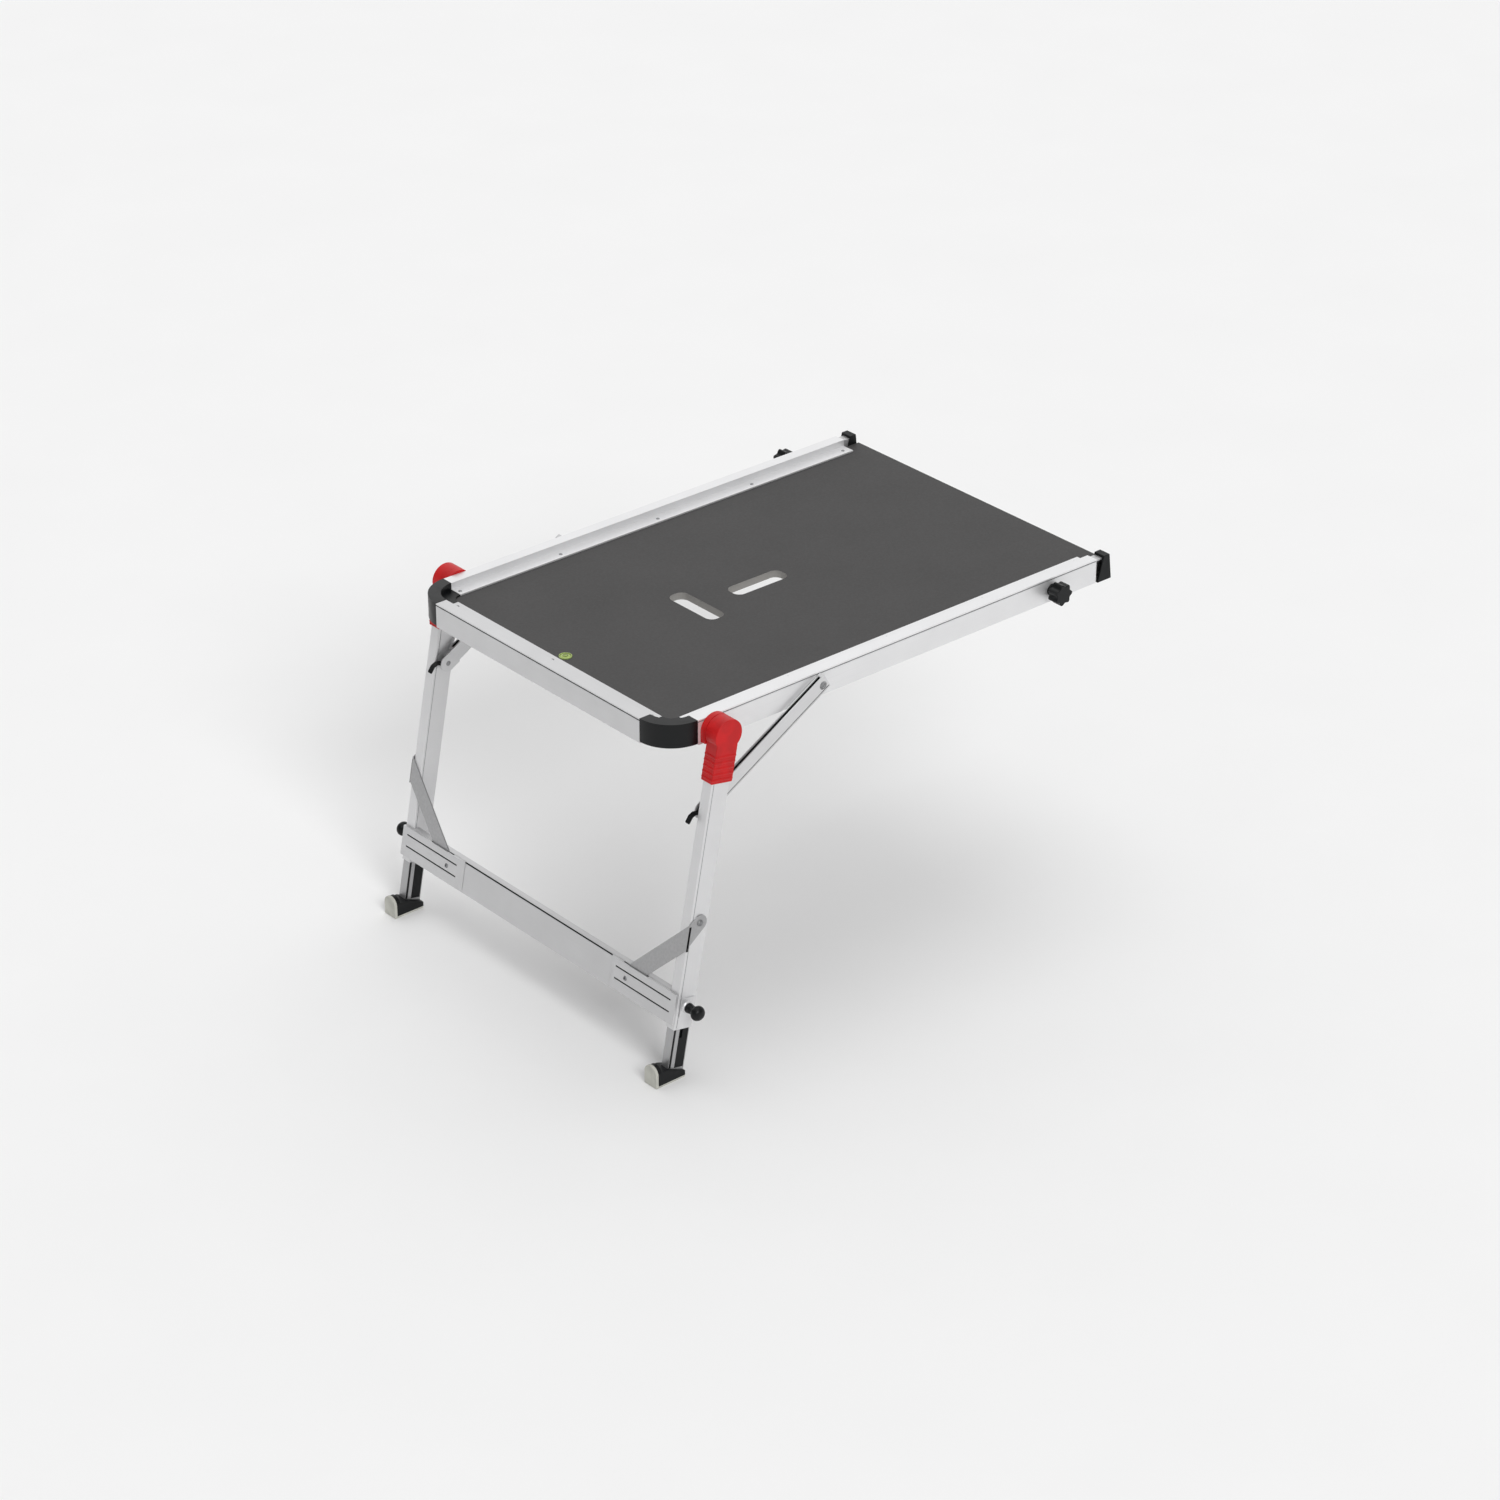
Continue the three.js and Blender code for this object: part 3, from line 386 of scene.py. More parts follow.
def moulded(name, colour, roughness, spark_mm=0.9, depth_mm=0.03, specular=0.5):
    """An injection moulding: even colour, with the fine spark-eroded grain of its tool.
    The strips of painted shade in grooves and gaps are made with it too.
    """
    flow_mm = 25
    material, tree, shader = new_material(
        name, {"Roughness": roughness, "IOR": 1.53, "Specular IOR Level": specular})
    place = object_coordinates(tree)
    grain = add_node(
        tree, "ShaderNodeTexNoise", {"Scale": 1 / (spark_mm * MM), "Detail": 4.0},
        {"Vector": place.outputs["Vector"]})
    flow = add_node(
        tree, "ShaderNodeTexNoise",
        {"Scale": 1 / (flow_mm * MM), "Detail": 2.0, "Distortion": 0.6},
        {"Vector": place.outputs["Vector"]})
    base = Vector(colour[:3])
    tone = tinted(
        tree, ranged(tree, flow.outputs["Fac"], 0, 1, 0.35, 0.65),
        (*(base * 0.9), 1), (*(base * 1.1), 1))
    tree.links.new(tone.outputs[2], shader.inputs["Base Color"])
    tree.links.new(
        ranged(tree, flow.outputs["Fac"], roughness - 0.05, roughness + 0.06, 0.35, 0.65),
        shader.inputs["Roughness"])
    bump(tree, shader, grain.outputs["Fac"], depth_mm, 0.6)
    return material


def zinc_plated_steel(name, light, dark, roughness):
    """Zinc-plated steel: greyer than aluminium, with faint crystal patches."""
    patch_mm, fine_mm = 4, 1.2
    material, tree, shader = new_material(name, {"Metallic": 1.0, "Roughness": roughness})
    place = object_coordinates(tree)
    patches = add_node(
        tree, "ShaderNodeTexVoronoi", {"Scale": 1 / (patch_mm * MM), "Randomness": 1.0},
        {"Vector": place.outputs["Vector"]})
    fine = add_node(
        tree, "ShaderNodeTexNoise", {"Scale": 1 / (fine_mm * MM), "Detail": 4.0},
        {"Vector": place.outputs["Vector"]})
    both = add_node(
        tree, "ShaderNodeMath", {"operation": "ADD"},
        {0: patches.outputs["Distance"], 1: fine.outputs["Fac"]})
    tone = tinted(tree, ranged(tree, both.outputs[0], 0, 1, 0.5, 1.4), dark, light)
    tree.links.new(tone.outputs[2], shader.inputs["Base Color"])
    tree.links.new(
        ranged(tree, fine.outputs["Fac"], roughness - 0.05, roughness + 0.08, 0.3, 0.7),
        shader.inputs["Roughness"])
    bump(tree, shader, fine.outputs["Fac"], 0.006, 0.25)
    return material


def tinted_acrylic(name, colour):
    """The level's cast acrylic: clear green, glossy, with depth from part transmission."""
    cloud_mm = 9
    material, tree, shader = new_material(
        name, {"Roughness": 0.08, "IOR": 1.49, "Transmission Weight": 0.35})
    place = object_coordinates(tree)
    depth = add_node(
        tree, "ShaderNodeTexNoise", {"Scale": 1 / (cloud_mm * MM), "Detail": 1.0},
        {"Vector": place.outputs["Vector"]})
    base = Vector(colour[:3])
    tone = tinted(tree, depth.outputs["Fac"], (*(base * 0.85), 1), (*(base * 1.1), 1))
    tree.links.new(tone.outputs[2], shader.inputs["Base Color"])
    return material


FINISHES = {}


def finishes():
    """Every finish of the platform, made once."""
    if FINISHES:
        return FINISHES
    colours = bpy.context.scene.platform_colours
    lean = -LEG_LEAN
    FINISHES.update(
        deck=phenolic_film(colours.deck),
        # Two copies of one anodised aluminium: the side rails' lighter copy is painted light, for
        # faces turned to the key light, and the darker copy on the front rail, crossbar, brackets
        # and crossmembers is painted shade, for faces turned away from it.
        rail_x=aluminium(
            "anodised_aluminium_side_rail", srgb("ececed"), srgb("e4e4e5"), 0.42, "X", 0.0),
        rail_y=aluminium(
            "anodised_aluminium_front_rail", srgb("d6d6d7"), srgb("cccccd"), 0.42, "Y", 0.0),
        leg=aluminium(
            "anodised_aluminium_leg", srgb("e3e3e4"), srgb("dadadb"), 0.42, "Z", lean),
        strut=aluminium(
            "anodised_aluminium_strut", srgb("dededf"), srgb("d2d2d3"), 0.4, "X", STRUT_RISE),
        mill=aluminium(
            "mill_finish_aluminium", srgb("bcbcbd"), srgb("aeaeaf"), 0.38, "Z", lean, 0.75),
        mill_x=aluminium(
            "mill_finish_aluminium_extension", srgb("cfcfd0"), srgb("c2c2c3"), 0.38, "X", 0.0,
            0.75),
        # Painted shade: the near-black strips in grooves, gaps and the struts' slots, and the
        # mid-grey ones in the fine grooves of the side rails and legs, stand for the shade inside
        # them.
        groove=moulded("shadow_gap_lacquer", srgb("141516"), 0.85, 0.6, 0.01, 0.1),
        faint_groove=moulded("rail_groove_lacquer", srgb("77787a"), 0.7, 0.6, 0.01, 0.3),
        zinc=zinc_plated_steel("zinc_plated_strap", srgb("b6b6b7"), srgb("acacad"), 0.46),
        steel=zinc_plated_steel("zinc_plated_fastener", srgb("9a9b9c"), srgb("7c7d7f"), 0.33),
        black=moulded("glass_filled_nylon_black", colours.moulded_black, 0.5, specular=0.25),
        black_soft=moulded(
            "nylon_black_satin", colours.moulded_black, 0.34, 0.7, 0.012, specular=0.24),
        red=moulded("abs_red", colours.moulded_red, 0.42, 0.8, 0.012, specular=0.22),
        rubber=moulded("grey_rubber", srgb("c4c4bc"), 0.82, 1.1, 0.06, 0.3),
        level_cup=tinted_acrylic("green_acrylic_cup", srgb("a9c060")),
        level_vial=tinted_acrylic("green_acrylic_vial", srgb("bcd46c")),
        level_mark=moulded("black_ring_mark", srgb("1c1f16"), 0.5),
    )
    return FINISHES


# ---------------------------------------------------------------- mesh helpers

# In degrees: edges flatter than the first are dissolved, edges sharper than the second are
# rounded, and edges flatter than the third are shaded smooth.
FLAT_WITHIN, ROUND_OVER, SMOOTH_UNDER = 0.5, 38, 36


def both_sides(name):
    """The left and right node names of a pair."""
    return [f"{name}_{side}" for side in SIDES]


def finish_part(part, material, edge, segments):
    """Gives a CAD part its finish, and rounds its edges with live modifiers."""
    if part.data.materials:
        part.data.materials[0] = material
    else:
        part.data.materials.append(material)
    if edge <= 0:
        return
    weld = part.modifiers.new("weld", "WELD")
    weld.merge_threshold = 0.01 * MM
    flatten = part.modifiers.new("flatten", "DECIMATE")
    flatten.decimate_type = "DISSOLVE"
    flatten.angle_limit = math.radians(FLAT_WITHIN)
    rounding = part.modifiers.new("rounding", "BEVEL")
    rounding.width = edge
    rounding.segments = segments
    rounding.limit_method = "ANGLE"
    rounding.angle_limit = math.radians(ROUND_OVER)
    rounding.use_clamp_overlap = True
    shade = part.modifiers.new("shade", "NODES")
    shade.node_group = soft_shading()
    weights = part.modifiers.new("weights", "WEIGHTED_NORMAL")
    weights.keep_sharp = True
    weights.weight = 60


def finish_parts(*names):
    """Finishes CAD parts as CAD_PARTS says; the name of a pair stands for both its sides."""
    sizes = bpy.context.scene.platform_sizes
    for name in names:
        material, edge, segments = CAD_PARTS[name]
        width = getattr(sizes, edge) if isinstance(edge, str) else edge * MM
        for node in [name] if name in frame["nodes"] else both_sides(name):
            finish_part(frame["nodes"][node], finishes()[material], width, segments)


def soft_shading():
    """A node group that shades faces smooth but keeps edges over SMOOTH_UNDER sharp."""
    name = "soft_shading"
    if name in bpy.data.node_groups:
        return bpy.data.node_groups[name]
    tree = bpy.data.node_groups.new(name, "GeometryNodeTree")
    tree.interface.new_socket("Geometry", in_out="INPUT", socket_type="NodeSocketGeometry")
    tree.interface.new_socket("Geometry", in_out="OUTPUT", socket_type="NodeSocketGeometry")
    start = add_node(tree, "NodeGroupInput")
    smooth = add_node(
        tree, "GeometryNodeSetShadeSmooth", {"domain": "FACE"},
        {"Geometry": start.outputs["Geometry"]})
    angle = add_node(tree, "GeometryNodeInputMeshEdgeAngle")
    below = add_node(
        tree, "FunctionNodeCompare",
        {"operation": "LESS_THAN", "B": math.radians(SMOOTH_UNDER)},
        {"A": angle.outputs["Unsigned Angle"]})
    edges = add_node(
        tree, "GeometryNodeSetShadeSmooth", {"domain": "EDGE"},
        {"Geometry": smooth.outputs["Geometry"], "Shade Smooth": below.outputs["Result"]})
    add_node(tree, "NodeGroupOutput", links={"Geometry": edges.outputs["Geometry"]})
    return tree


def add_piece(name, mesh, material, body, replaces=()):
    """Links a finished mesh as a piece that rides on a CAD body."""
    mesh.materials.clear()
    mesh.materials.append(material)
    piece = bpy.data.objects.new(name, mesh)
    bpy.context.scene.collection.objects.link(piece)
    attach(piece, body)
    if replaces:
        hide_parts(*replaces)
    return piece


def mesh_from(builder, name, matrix):
    """A mesh that builder fills through a bmesh, moved by the matrix, its faces outwards."""
    work = bmesh.new()
    builder(work)
    bmesh.ops.transform(work, matrix=matrix, verts=work.verts)
    bmesh.ops.remove_doubles(work, verts=work.verts, dist=0.002 * MM)
    bmesh.ops.recalc_face_normals(work, faces=work.faces)
    mesh = bpy.data.meshes.new(name)
    work.to_mesh(mesh)
    work.free()
    return mesh


def shade_by_angle(mesh, degrees):
    """Smooth shading with edges over that angle kept sharp."""
    mesh.shade_smooth()
    mesh.set_sharp_from_angle(angle=math.radians(degrees))


def turned_piece(profile, segments):
    """A builder of a turned shape: profile holds (radius, height) in mm, axis along local +Z."""

    def build(work):
        rings = []
        for radius, height in profile:
            if radius == 0:
                rings.append([work.verts.new((0, 0, height * MM))])
                continue
            rings.append([
                work.verts.new((
                    radius * MM * math.cos(2 * math.pi * i / segments),
                    radius * MM * math.sin(2 * math.pi * i / segments), height * MM))
                for i in range(segments)])
        for low, high in zip(rings, rings[1:]):
            for i in range(segments):
                j = (i + 1) % segments
                corners = [low[i % len(low)], low[j % len(low)],
                           high[j % len(high)], high[i % len(high)]]
                unique = list(dict.fromkeys(corners))
                if len(unique) > 2:
                    work.faces.new(unique)

    return build


def rounded_profile(points, radius, steps=5):
    """A polyline of (radius, height) points whose inner corners are rounded."""
    path = [Vector(p) for p in points]
    out = [tuple(path[0])]
    for before, corner, after in zip(path, path[1:], path[2:]):
        reach = min(radius, (before - corner).length / 2.05, (after - corner).length / 2.05)
        start = corner + (before - corner).normalized() * reach
        end = corner + (after - corner).normalized() * reach
        for step in range(steps + 1):
            t = step / steps
            out.append(tuple(start * (1 - t) ** 2 + corner * 2 * t * (1 - t) + end * t ** 2))
    out.append(tuple(path[-1]))
    return out


def outward(side, x, y, z):
    """A matrix that puts a turned piece's +Z axis along the outward Y of that side."""
    sign = SIDES[side]
    return Matrix.Translation((x, y * sign, z)) @ Matrix.Rotation(-sign * math.pi / 2, 4, "X")


def add_turned(name, profile, segments, matrix, material, body, degrees=34, replaces=()):
    """Adds a turned piece; edges over that many degrees stay sharp."""
    mesh = mesh_from(turned_piece(profile, segments), name, matrix)
    shade_by_angle(mesh, degrees)
    return add_piece(name, mesh, material, body, replaces)


# ---------------------------------------------------------------- geometry nodes for what repeats


def row_tree():
    """A node group that sets one small solid along a straight line."""
    name = "row_of_parts"
    if name in bpy.data.node_groups:
        return bpy.data.node_groups[name]
    tree = bpy.data.node_groups.new(name, "GeometryNodeTree")
    inputs = {
        "Start": "NodeSocketVector", "Step": "NodeSocketVector", "Count": "NodeSocketInt",
        "Turn": "NodeSocketRotation", "Size": "NodeSocketVector", "Round": "NodeSocketBool",
        "Material": "NodeSocketMaterial",
    }
    for label, kind in inputs.items():
        tree.interface.new_socket(label, in_out="INPUT", socket_type=kind)
    tree.interface.new_socket("Geometry", in_out="OUTPUT", socket_type="NodeSocketGeometry")
    start = add_node(tree, "NodeGroupInput")
    line = add_node(
        tree, "GeometryNodeMeshLine", {"mode": "OFFSET"},
        {"Count": start.outputs["Count"], "Start Location": start.outputs["Start"],
         "Offset": start.outputs["Step"]})
    dome = add_node(
        tree, "GeometryNodeMeshUVSphere", {"Segments": 20, "Rings": 10, "Radius": 0.5})
    block = add_node(tree, "GeometryNodeMeshCube", {"Size": (1, 1, 1)})
    shape = add_node(
        tree, "GeometryNodeSwitch", {"input_type": "GEOMETRY"},
        {"Switch": start.outputs["Round"], "False": block.outputs["Mesh"],
         "True": dome.outputs["Mesh"]})
    smooth = add_node(
        tree, "GeometryNodeSetShadeSmooth", {},
        {"Geometry": shape.outputs[0], "Shade Smooth": start.outputs["Round"]})
    placed = add_node(
        tree, "GeometryNodeInstanceOnPoints", {},
        {"Points": line.outputs["Mesh"], "Instance": smooth.outputs["Geometry"],
         "Rotation": start.outputs["Turn"], "Scale": start.outputs["Size"]})
    solid = add_node(
        tree, "GeometryNodeRealizeInstances", {}, {"Geometry": placed.outputs["Instances"]})
    painted = add_node(
        tree, "GeometryNodeSetMaterial", {},
        {"Geometry": solid.outputs["Geometry"], "Material": start.outputs["Material"]})
    add_node(tree, "NodeGroupOutput", links={"Geometry": painted.outputs["Geometry"]})
    return tree


def round_edges(mesh, width):
    """Rounds every edge of a mesh of plain blocks."""
    work = bmesh.new()
    work.from_mesh(mesh)
    bmesh.ops.bevel(
        work, geom=work.edges[:], offset=width, segments=3, profile=0.5, affect="EDGES")
    work.to_mesh(mesh)
    work.free()
    shade_by_angle(mesh, 40)


def grow_row(name, body, slot, rounding=0.0, **inputs):
    """Runs the row tree with those inputs and keeps its result as a plain mesh piece."""
    tree = row_tree()
    holder = bpy.data.objects.new(f"{name}_source", bpy.data.meshes.new(f"{name}_source"))
    bpy.context.scene.collection.objects.link(holder)
    modifier = holder.modifiers.new("row", "NODES")
    modifier.node_group = tree
    sockets = {
        item.name: item.identifier for item in tree.interface.items_tree
        if item.item_type == "SOCKET" and item.in_out == "INPUT"}
    for label, value in inputs.items():
        modifier[sockets[label]] = value
    bpy.context.view_layer.update()
    evaluated = holder.evaluated_get(bpy.context.evaluated_depsgraph_get())
    mesh = bpy.data.meshes.new_from_object(evaluated)
    mesh.name = name
    holder.modifiers.clear()
    bpy.data.objects.remove(holder)
    if not mesh.polygons:
        raise RuntimeError(f"{name} came out empty")
    if rounding > 0:
        round_edges(mesh, rounding)
    return add_piece(name, mesh, inputs["Material"], body)


def fill_groove(name, body, slot, matrix, centre, size, material, step=(0, 0, 0)):
    """A flat strip, or two a step apart, in a part's grooves: in mm, in the matrix's frame."""
    turned = matrix.to_3x3()
    return grow_row(
        name, body, slot, rounding=min(size) * STRIP_ROUND * MM,
        Start=matrix @ (Vector(centre) * MM), Step=turned @ (Vector(step) * MM),
        Count=2 if any(step) else 1, Turn=tuple(turned.to_euler()),
        Size=tuple(Vector(size) * MM), Round=False, Material=material)


# ---------------------------------------------------------------- the platform's pieces


class PLATFORM_OT_deck(bpy.types.Operator):
    """Deck board of filmed plywood and the channels under it"""

    bl_idname = "platform.deck"
    bl_label = "Deck"

    def execute(self, context):
        finish_parts("deck_panel", "crossmember_front", "crossmember_rear")
        return {"FINISHED"}


class PLATFORM_OT_rails(bpy.types.Operator):
    """Extruded side and front rails with the rivets along their flanges"""

    bl_idname = "platform.rails"
    bl_label = "Rails"

    def execute(self, context):
        finish_parts("side_rail", "front_rail")
        finish = finishes()
        sizes = context.scene.platform_sizes

        flange_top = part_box("corner_cap_left")[1].z - FLANGE_BELOW_CAP * MM
        head = (2 * sizes.rivet_radius, 2 * sizes.rivet_radius, 2 * sizes.rivet_proud)
        rivet = {"Size": head, "Round": True, "Material": finish["steel"]}
        from_front, from_rear = SIDE_RIVET_ENDS
        first, last = RAIL_LOW.x + from_front * MM, RAIL_HIGH.x - from_rear * MM
        step = (last - first) / (sizes.rail_rivets - 1)
        line = RAIL_LOW.y + SIDE_RIVET_INSET * MM
        for side, sign in SIDES.items():
            grow_row(
                f"flange_rivets_{side}", "platform", "steel",
                Start=(first, sign * line, flange_top), Step=(step, 0, 0),
                Count=sizes.rail_rivets, **rivet)
        reach = FRONT_HIGH.y - FRONT_RIVET_ENDS * MM
        grow_row(
            "flange_rivets_front", "platform", "steel",
            Start=(FRONT_HIGH.x - FRONT_RIVET_INSET * MM, -reach, flange_top),
            Step=(0, 2 * reach / (FRONT_RIVETS - 1), 0), Count=FRONT_RIVETS, **rivet)

        # A dark strip of painted shade in the front rail's groove.
        front = FRONT_LOW / MM
        fill_groove(
            "front_rail_groove", "platform", "black_plastic", Matrix(),
            (front.x + FRONT_STRIP_IN, 0, RAIL_GROOVE_LEVEL),
            (FRONT_STRIP_DEEP, FRONT_HIGH.y / MM * 2 - RAIL_STRIP_SHORT, RAIL_GROOVE_TALL),
            finish["groove"])
        # Fainter grey strips of painted shade in the side rails' grooves.
        low, high = RAIL_LOW / MM, RAIL_HIGH / MM
        for side, sign in SIDES.items():
            fill_groove(
                f"side_rail_groove_{side}", "platform", "black_plastic", Matrix(),
                ((low.x + high.x) / 2, sign * (high.y - SIDE_GROOVE_IN), RAIL_GROOVE_LEVEL),
                (high.x - low.x - RAIL_STRIP_SHORT, SIDE_GROOVE_DEEP, RAIL_GROOVE_TALL),
                finish["faint_groove"])
        return {"FINISHED"}


class PLATFORM_OT_corner_caps(bpy.types.Operator):
    """Rounded black corner caps"""

    bl_idname = "platform.corner_caps"
    bl_label = "Corner Caps"

    def execute(self, context):
        finish_parts("corner_cap")
        return {"FINISHED"}


class PLATFORM_OT_level(bpy.types.Operator):
    """Round spirit level: cup, vial, its ring mark and its bubble"""

    bl_idname = "platform.level"
    bl_label = "Spirit Level"

    def execute(self, context):
        finish_parts("level_housing", "level_vial")
        finish = finishes()
        centre = (LEVEL_LOW + LEVEL_HIGH) / 2
        top = Matrix.Translation((centre.x, centre.y, LEVEL_HIGH.z + MARK_LIFT * MM))
        add_turned(
            "level_ring_mark", RING_PROFILE, 48, top, finish["level_mark"], "platform")
        shift = Matrix.Translation(Vector((*BUBBLE_SHIFT, 0)) * MM)
        add_turned(
            "level_bubble", BUBBLE_PROFILE, 32, top @ shift, finish["level_vial"], "platform",
            degrees=70)
        return {"FINISHED"}


class PLATFORM_OT_hinges(bpy.types.Operator):
    """Red hinge plates, pivot bolts and the banded red caps over the legs"""

    bl_idname = "platform.hinges"
    bl_label = "Hinges"

    def execute(self, context):
        finish_parts("hinge_bracket", "pivot_bolt", "leg_cap")
        sizes = context.scene.platform_sizes
        proud = sizes.band_proud
        width = CAP_HIGH.y - CAP_LOW.y
        middle = (CAP_HIGH.y + CAP_LOW.y) / 2
        for side, sign in SIDES.items():
            to_leg = leg_frame_matrix(sign * (middle + proud / 2))
            grow_row(
                f"sleeve_bands_{side}", "leg_frame", "red_plastic", rounding=BAND_ROUND * MM,
                Start=to_leg @ Vector((-proud / 2, 0, -BAND_DOWN * MM)),
                Step=to_leg.to_3x3() @ Vector((0, 0, -BAND_PITCH * MM)),
                Count=sizes.sleeve_bands, Turn=(0, LEG_LEAN, 0),
                Size=(BAND_DEEP * MM + proud, width + proud, BAND_TALL * MM), Round=False,
                Material=finishes()["red"])
        return {"FINISHED"}


class PLATFORM_OT_legs(bpy.types.Operator):
    """Leg tubes, crossbar, grooved end brackets, diagonal braces and their fasteners"""

    bl_idname = "platform.legs"
    bl_label = "Leg Pair"

    def execute(self, context):
        finish_parts(
            "leg_tube", "crossbar", "crossbar_bracket", "brace", "brace_rivet", "strut_pin",
            "plunger_mount")
        finish = finishes()
        leg = leg_frame_matrix()
        inner, outer = TUBE_LOW.y / MM, TUBE_HIGH.y / MM

        def fill(name, centre, size, material, step=(0, 0, 0)):
            fill_groove(
                name, "leg_frame", "black_plastic", leg, centre, size, finish[material], step)

        # A dark strip of painted shade in the crossbar's groove.
        fill(
            "crossbar_groove", (CROSSBAR_FRONT + FRONT_STRIP_IN, 0, -CROSSBAR_GROOVE_DOWN),
            (FRONT_STRIP_DEEP, 2 * inner - CROSSBAR_STRIP_SHORT, CROSSBAR_GROOVE_TALL), "groove")
        gap_start, gap_end = BRACE_GAP_DOWN
        high, low = BRACKET_GROOVES_DOWN
        from_y, to_y = BRACKET_GROOVES_SPAN
        screw_x, screw_y, screw_z = SCREW_PLACE
        for side, sign in SIDES.items():
            # A dark strip of painted shade at each brace's fold.
            fill(
                f"brace_gap_{side}",
                (CROSSBAR_FRONT - BRACE_GAP_PROUD, sign * (outer + BRACE_TAB_THICK),
                 -(gap_start + gap_end) / 2),
                (BRACE_GAP_WIDE, BRACE_GAP_DEEP, gap_end - gap_start), "groove")
            face = leg @ Matrix.Translation(Vector((screw_x, sign * screw_y, screw_z)) * MM)
            add_turned(
                f"bracket_screw_{side}", SCREW_PROFILE, 32,
                face @ Matrix.Rotation(-math.pi / 2, 4, "Y"), finish["steel"], "leg_frame")
            # Grey strips of painted shade in the fine grooves along both sides of the leg.
            fill(
                f"leg_lines_{side}", (LEG_LINE_X, sign * (inner + LEG_LINE_IN), -LEG_LINE_DOWN),
                (LEG_LINE_WIDE, LEG_LINE_DEEP, LEG_LINE_LONG), "faint_groove",
                (0, sign * (outer - inner - 2 * LEG_LINE_IN), 0))
            # Dark strips of painted shade in each bracket's two grooves.
            fill(
                f"bracket_lines_{side}",
                (BRACKET_FRONT + FRONT_STRIP_IN, sign * (from_y + to_y) / 2, -high),
                (FRONT_STRIP_DEEP, to_y - from_y - BRACKET_STRIP_SHORT, BRACKET_GROOVE_TALL),
                "groove", (0, 0, high - low))
        return {"FINISHED"}


class PLATFORM_OT_inner_legs(bpy.types.Operator):
    """Telescoping inner legs with their racks, feet and rubber pads"""

    bl_idname = "platform.inner_legs"
    bl_label = "Inner Legs"

    def execute(self, context):
        finish_parts("inner_leg", "rack", "foot", "foot_pad")
        finish = finishes()
        leg = leg_frame_matrix()
        low, high = INNER_LOW.y / MM, INNER_HIGH.y / MM
        start, end = INLAY_DOWN
        upper, lower = PIN_LINE_DOWN
        for side, sign in SIDES.items():
            body = f"inner_leg_{side}"
            fill_groove(
                f"inner_leg_inlays_{side}", body, "black_plastic", leg,
                (INLAY_X, sign * (low + INLAY_IN), -(start + end) / 2),
                (INLAY_WIDE, INLAY_DEEP, end - start), finish["black"],
                (0, sign * (high - low - 2 * INLAY_IN), 0))
            fill_groove(
                f"pin_line_{side}", body, "steel", leg,
                (PIN_LINE_X, sign * (high - PIN_LINE_IN), -(upper + lower) / 2),
                (PIN_LINE_WIDE, PIN_LINE_DEEP, lower - upper), finish["mill"])
            for end_name, down in (("upper", upper), ("lower", lower)):
                add_turned(
                    f"pin_stud_{end_name}_{side}", STUD_PROFILE, 24,
                    leg @ outward(side, PIN_LINE_X * MM, (high - STUD_IN) * MM, -down * MM),
                    finish["steel"], body)
        return {"FINISHED"}


class PLATFORM_OT_plungers(bpy.types.Operator):
    """Spring plungers with mushroom knobs"""

    bl_idname = "platform.plungers"
    bl_label = "Plungers"

    def execute(self, context):
        finish_parts("plunger_pin")
        x = (KNOB_LOW.x + KNOB_HIGH.x) / 2
        z = (KNOB_LOW.z + KNOB_HIGH.z) / 2
        length = (KNOB_HIGH.y - KNOB_LOW.y) / MM
        radius = (KNOB_HIGH.x - KNOB_LOW.x) / 2 / MM
        neck, neck_below = KNOB_NECK_END
        head = [(radius - narrower, length - below) for narrower, below in KNOB_HEAD]
        outline = [*KNOB_NECK, (neck, length - neck_below), *head, (0, length)]
        profile = [*rounded_profile(outline, KNOB_ROUND), *KNOB_BORE]
        for side in SIDES:
            add_turned(
                f"mushroom_knob_{side}", profile, 64, outward(side, x, KNOB_LOW.y, z),
                finishes()["black_soft"], f"plunger_{side}",
                replaces=[f"plunger_knob_{side}"])
        return {"FINISHED"}


class PLATFORM_OT_struts(bpy.types.Operator):
    """Lipped channel struts with their upper bolts"""

    bl_idname = "platform.struts"
    bl_label = "Side Struts"

    def execute(self, context):
        finish_parts("strut", "strut_bolt")
        groove = finishes()["groove"]
        strut = strut_frame_matrix()
        length = STRUT_RUN.length / MM
        outer = STRUT_OUTER / MM
        # Dark strips of painted shade in each strut's outer groove and top slot.
        for side, sign in SIDES.items():
            for kind, (start, past, inward, z, wide, tall) in STRUT_STRIPS.items():
                end = length + past
                fill_groove(
                    f"strut_{kind}_{side}", f"strut_{side}", "black_plastic", strut,
                    ((start + end) / 2, sign * (outer - inward), z), (end - start, wide, tall),
                    groove)
        return {"FINISHED"}


class PLATFORM_OT_latches(bpy.types.Operator):
    """Release latches at the struts' lower ends"""

    bl_idname = "platform.latches"
    bl_label = "Latches"

    def execute(self, context):
        finish_parts("latch")
        return {"FINISHED"}


class PLATFORM_OT_rear_extensions(bpy.types.Operator):
    """Sliding rear extensions with their end feet"""

    bl_idname = "platform.rear_extensions"
    bl_label = "Rear Extensions"

    def execute(self, context):
        finish_parts("rear_extension", "rear_foot")
        return {"FINISHED"}


class PLATFORM_OT_star_knobs(bpy.types.Operator):
    """Lobed clamping knobs and their bushes"""

    bl_idname = "platform.star_knobs"
    bl_label = "Star Knobs"

    def execute(self, context):
        finish_parts("star_knob", "knob_bush")
        return {"FINISHED"}


# ---------------------------------------------------------------- stage

# The room's brightness away from its bright wall and at it, and where that wall is.
WORLD_DIM, WORLD_BRIGHT = 0.31, 1.06
BRIGHT_WALL = (0.53, 0.58, 0.62)

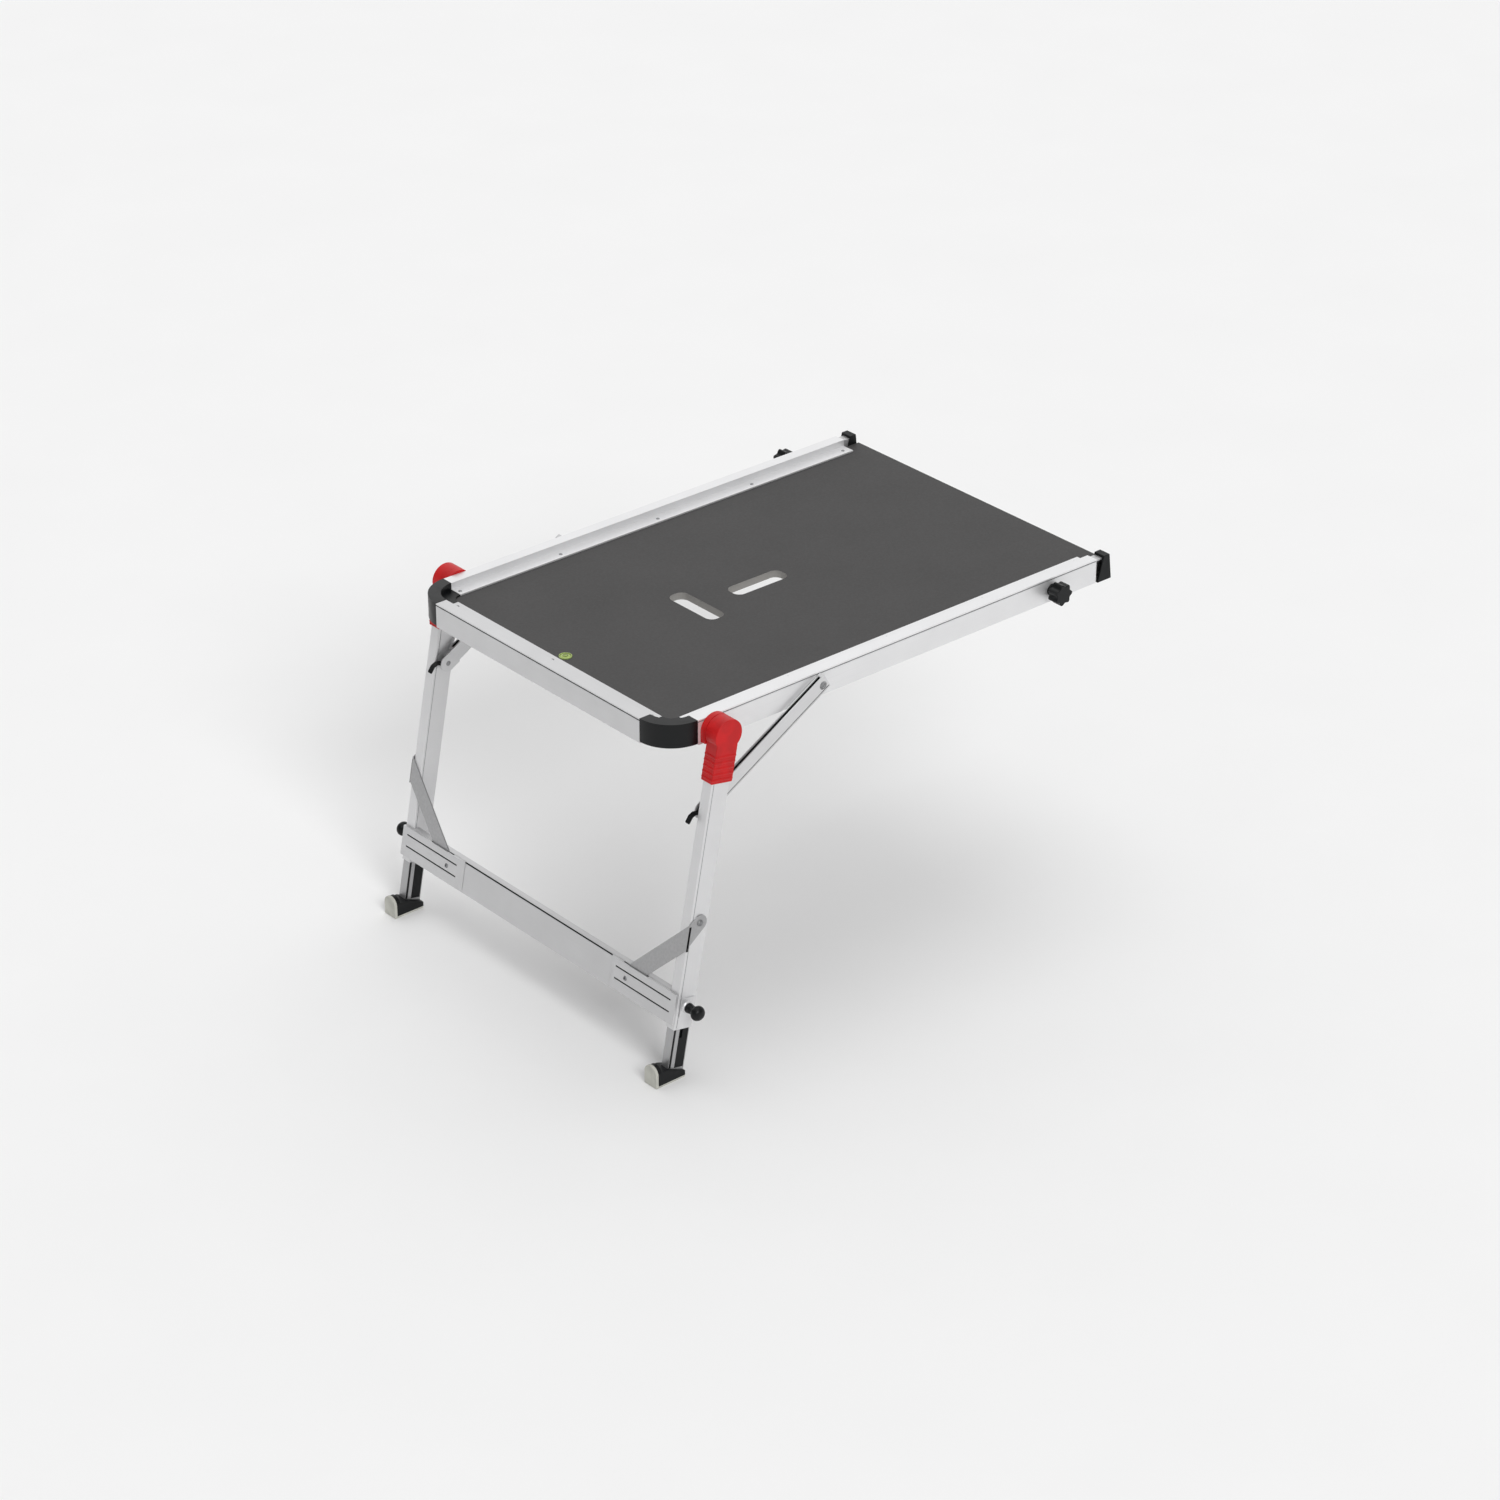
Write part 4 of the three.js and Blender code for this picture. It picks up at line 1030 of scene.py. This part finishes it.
# Lights: the way to each one, its spread in degrees and its strength.
LIGHTS = {
    "key": ((-1.3, -4.2, 3.2), 26, 1.36),
    "top": ((0.3, 0.2, 4.4), 42, 0.5),
}

# The photo's view: camera place and aim in metres, lens and sensor in millimetres.
CAMERA_PLACE, CAMERA_AIM = (-3.862, -4.484, 3.5045), (-0.011, -0.010, 0.273)
CAMERA_LENS, CAMERA_SENSOR = 102.85, 36

# Half the floor's width in metres, and how far it lies below the soles, so as not to touch them.
FLOOR_HALF, FLOOR_BELOW = 30.0, 0.2 * MM


def add_light(name, towards, spread, strength):
    """A broad, even light: towards points from the platform to it, spread is its angle."""
    lamp = bpy.data.lights.new(name, "SUN")
    lamp.energy = strength
    lamp.angle = math.radians(spread)
    light = bpy.data.objects.new(name, lamp)
    light.rotation_euler = Vector(towards).to_track_quat("Z", "Y").to_euler()
    bpy.context.scene.collection.objects.link(light)


def studio_world():
    """A dim white room with one wide bright wall, high behind the platform."""
    world = bpy.data.worlds.new("white_studio")
    world.use_nodes = True
    tree = world.node_tree
    around = add_node(tree, "ShaderNodeTexCoord")
    towards = add_node(
        tree, "ShaderNodeVectorMath", {"operation": "DOT_PRODUCT", 1: BRIGHT_WALL},
        {0: around.outputs["Generated"]})
    glow = ranged(tree, towards.outputs["Value"], WORLD_DIM, WORLD_BRIGHT, 0.35, 0.95)
    tree.links.new(glow, tree.nodes["Background"].inputs["Strength"])
    tree.nodes["Background"].inputs["Color"].default_value = srgb("ffffff")
    return world


class PLATFORM_OT_stage(bpy.types.Operator):
    """Pale floor, soft light and the camera"""

    bl_idname = "platform.stage"
    bl_label = "Stage"

    def execute(self, context):
        floor_mesh = bpy.data.meshes.new("studio_floor")
        half = FLOOR_HALF
        floor_mesh.from_pydata(
            [(-half, -half, 0), (half, -half, 0), (half, half, 0), (-half, half, 0)], [],
            [(0, 1, 2, 3)])
        paint, tree, shader = new_material("matt_floor_paint", {"Roughness": 0.9})
        place = object_coordinates(tree)
        mottle = add_node(
            tree, "ShaderNodeTexNoise", {"Scale": 4.0, "Detail": 2.0},
            {"Vector": place.outputs["Vector"]})
        tone = tinted(tree, mottle.outputs["Fac"], srgb("f4f4f4"), srgb("f7f7f7"))
        tree.links.new(tone.outputs[2], shader.inputs["Base Color"])
        floor_mesh.materials.append(paint)
        floor = bpy.data.objects.new("studio_floor", floor_mesh)
        floor.location.z = -FLOOR_BELOW
        context.scene.collection.objects.link(floor)

        context.scene.world = studio_world()
        for name, (towards, spread, strength) in LIGHTS.items():
            add_light(name, towards, spread, strength)

        lens = bpy.data.cameras.new("camera")
        lens.sensor_width = CAMERA_SENSOR
        lens.lens = CAMERA_LENS
        camera = bpy.data.objects.new("camera", lens)
        camera.location = CAMERA_PLACE
        sight = Vector(CAMERA_AIM) - camera.location
        camera.rotation_euler = sight.to_track_quat("-Z", "Y").to_euler()
        context.scene.collection.objects.link(camera)
        context.scene.camera = camera
        context.scene.view_settings.view_transform = "Standard"
        return {"FINISHED"}


# ---------------------------------------------------------------- add-on

PIECES = (
    PLATFORM_OT_deck, PLATFORM_OT_rails, PLATFORM_OT_corner_caps, PLATFORM_OT_level,
    PLATFORM_OT_hinges, PLATFORM_OT_legs, PLATFORM_OT_inner_legs, PLATFORM_OT_plungers,
    PLATFORM_OT_struts, PLATFORM_OT_latches, PLATFORM_OT_rear_extensions,
    PLATFORM_OT_star_knobs, PLATFORM_OT_stage,
)


class PLATFORM_PT_sidebar(bpy.types.Panel):
    """Lists the platform's pieces, sizes and colours"""

    bl_label = "Stair Work Platform"
    bl_idname = "PLATFORM_PT_sidebar"
    bl_space_type = "VIEW_3D"
    bl_region_type = "UI"
    bl_category = "Platform"

    def draw(self, context):
        for piece in PIECES:
            self.layout.operator(piece.bl_idname)
        for group in (context.scene.platform_sizes, context.scene.platform_colours):
            box = self.layout.box()
            for name in group.__annotations__:
                box.prop(group, name)


CLASSES = (PlatformSizes, PlatformColours, *PIECES, PLATFORM_PT_sidebar)


def register():
    for cls in CLASSES:
        bpy.utils.register_class(cls)
    bpy.types.Scene.platform_sizes = bpy.props.PointerProperty(type=PlatformSizes)
    bpy.types.Scene.platform_colours = bpy.props.PointerProperty(type=PlatformColours)


def unregister():
    del bpy.types.Scene.platform_colours
    del bpy.types.Scene.platform_sizes
    for cls in reversed(CLASSES):
        bpy.utils.unregister_class(cls)


def main():
    """Builds every piece in order."""
    register()
    for piece in PIECES:
        area, name = piece.bl_idname.split(".")
        getattr(getattr(bpy.ops, area), name)()


if __name__ == "__main__":
    main()
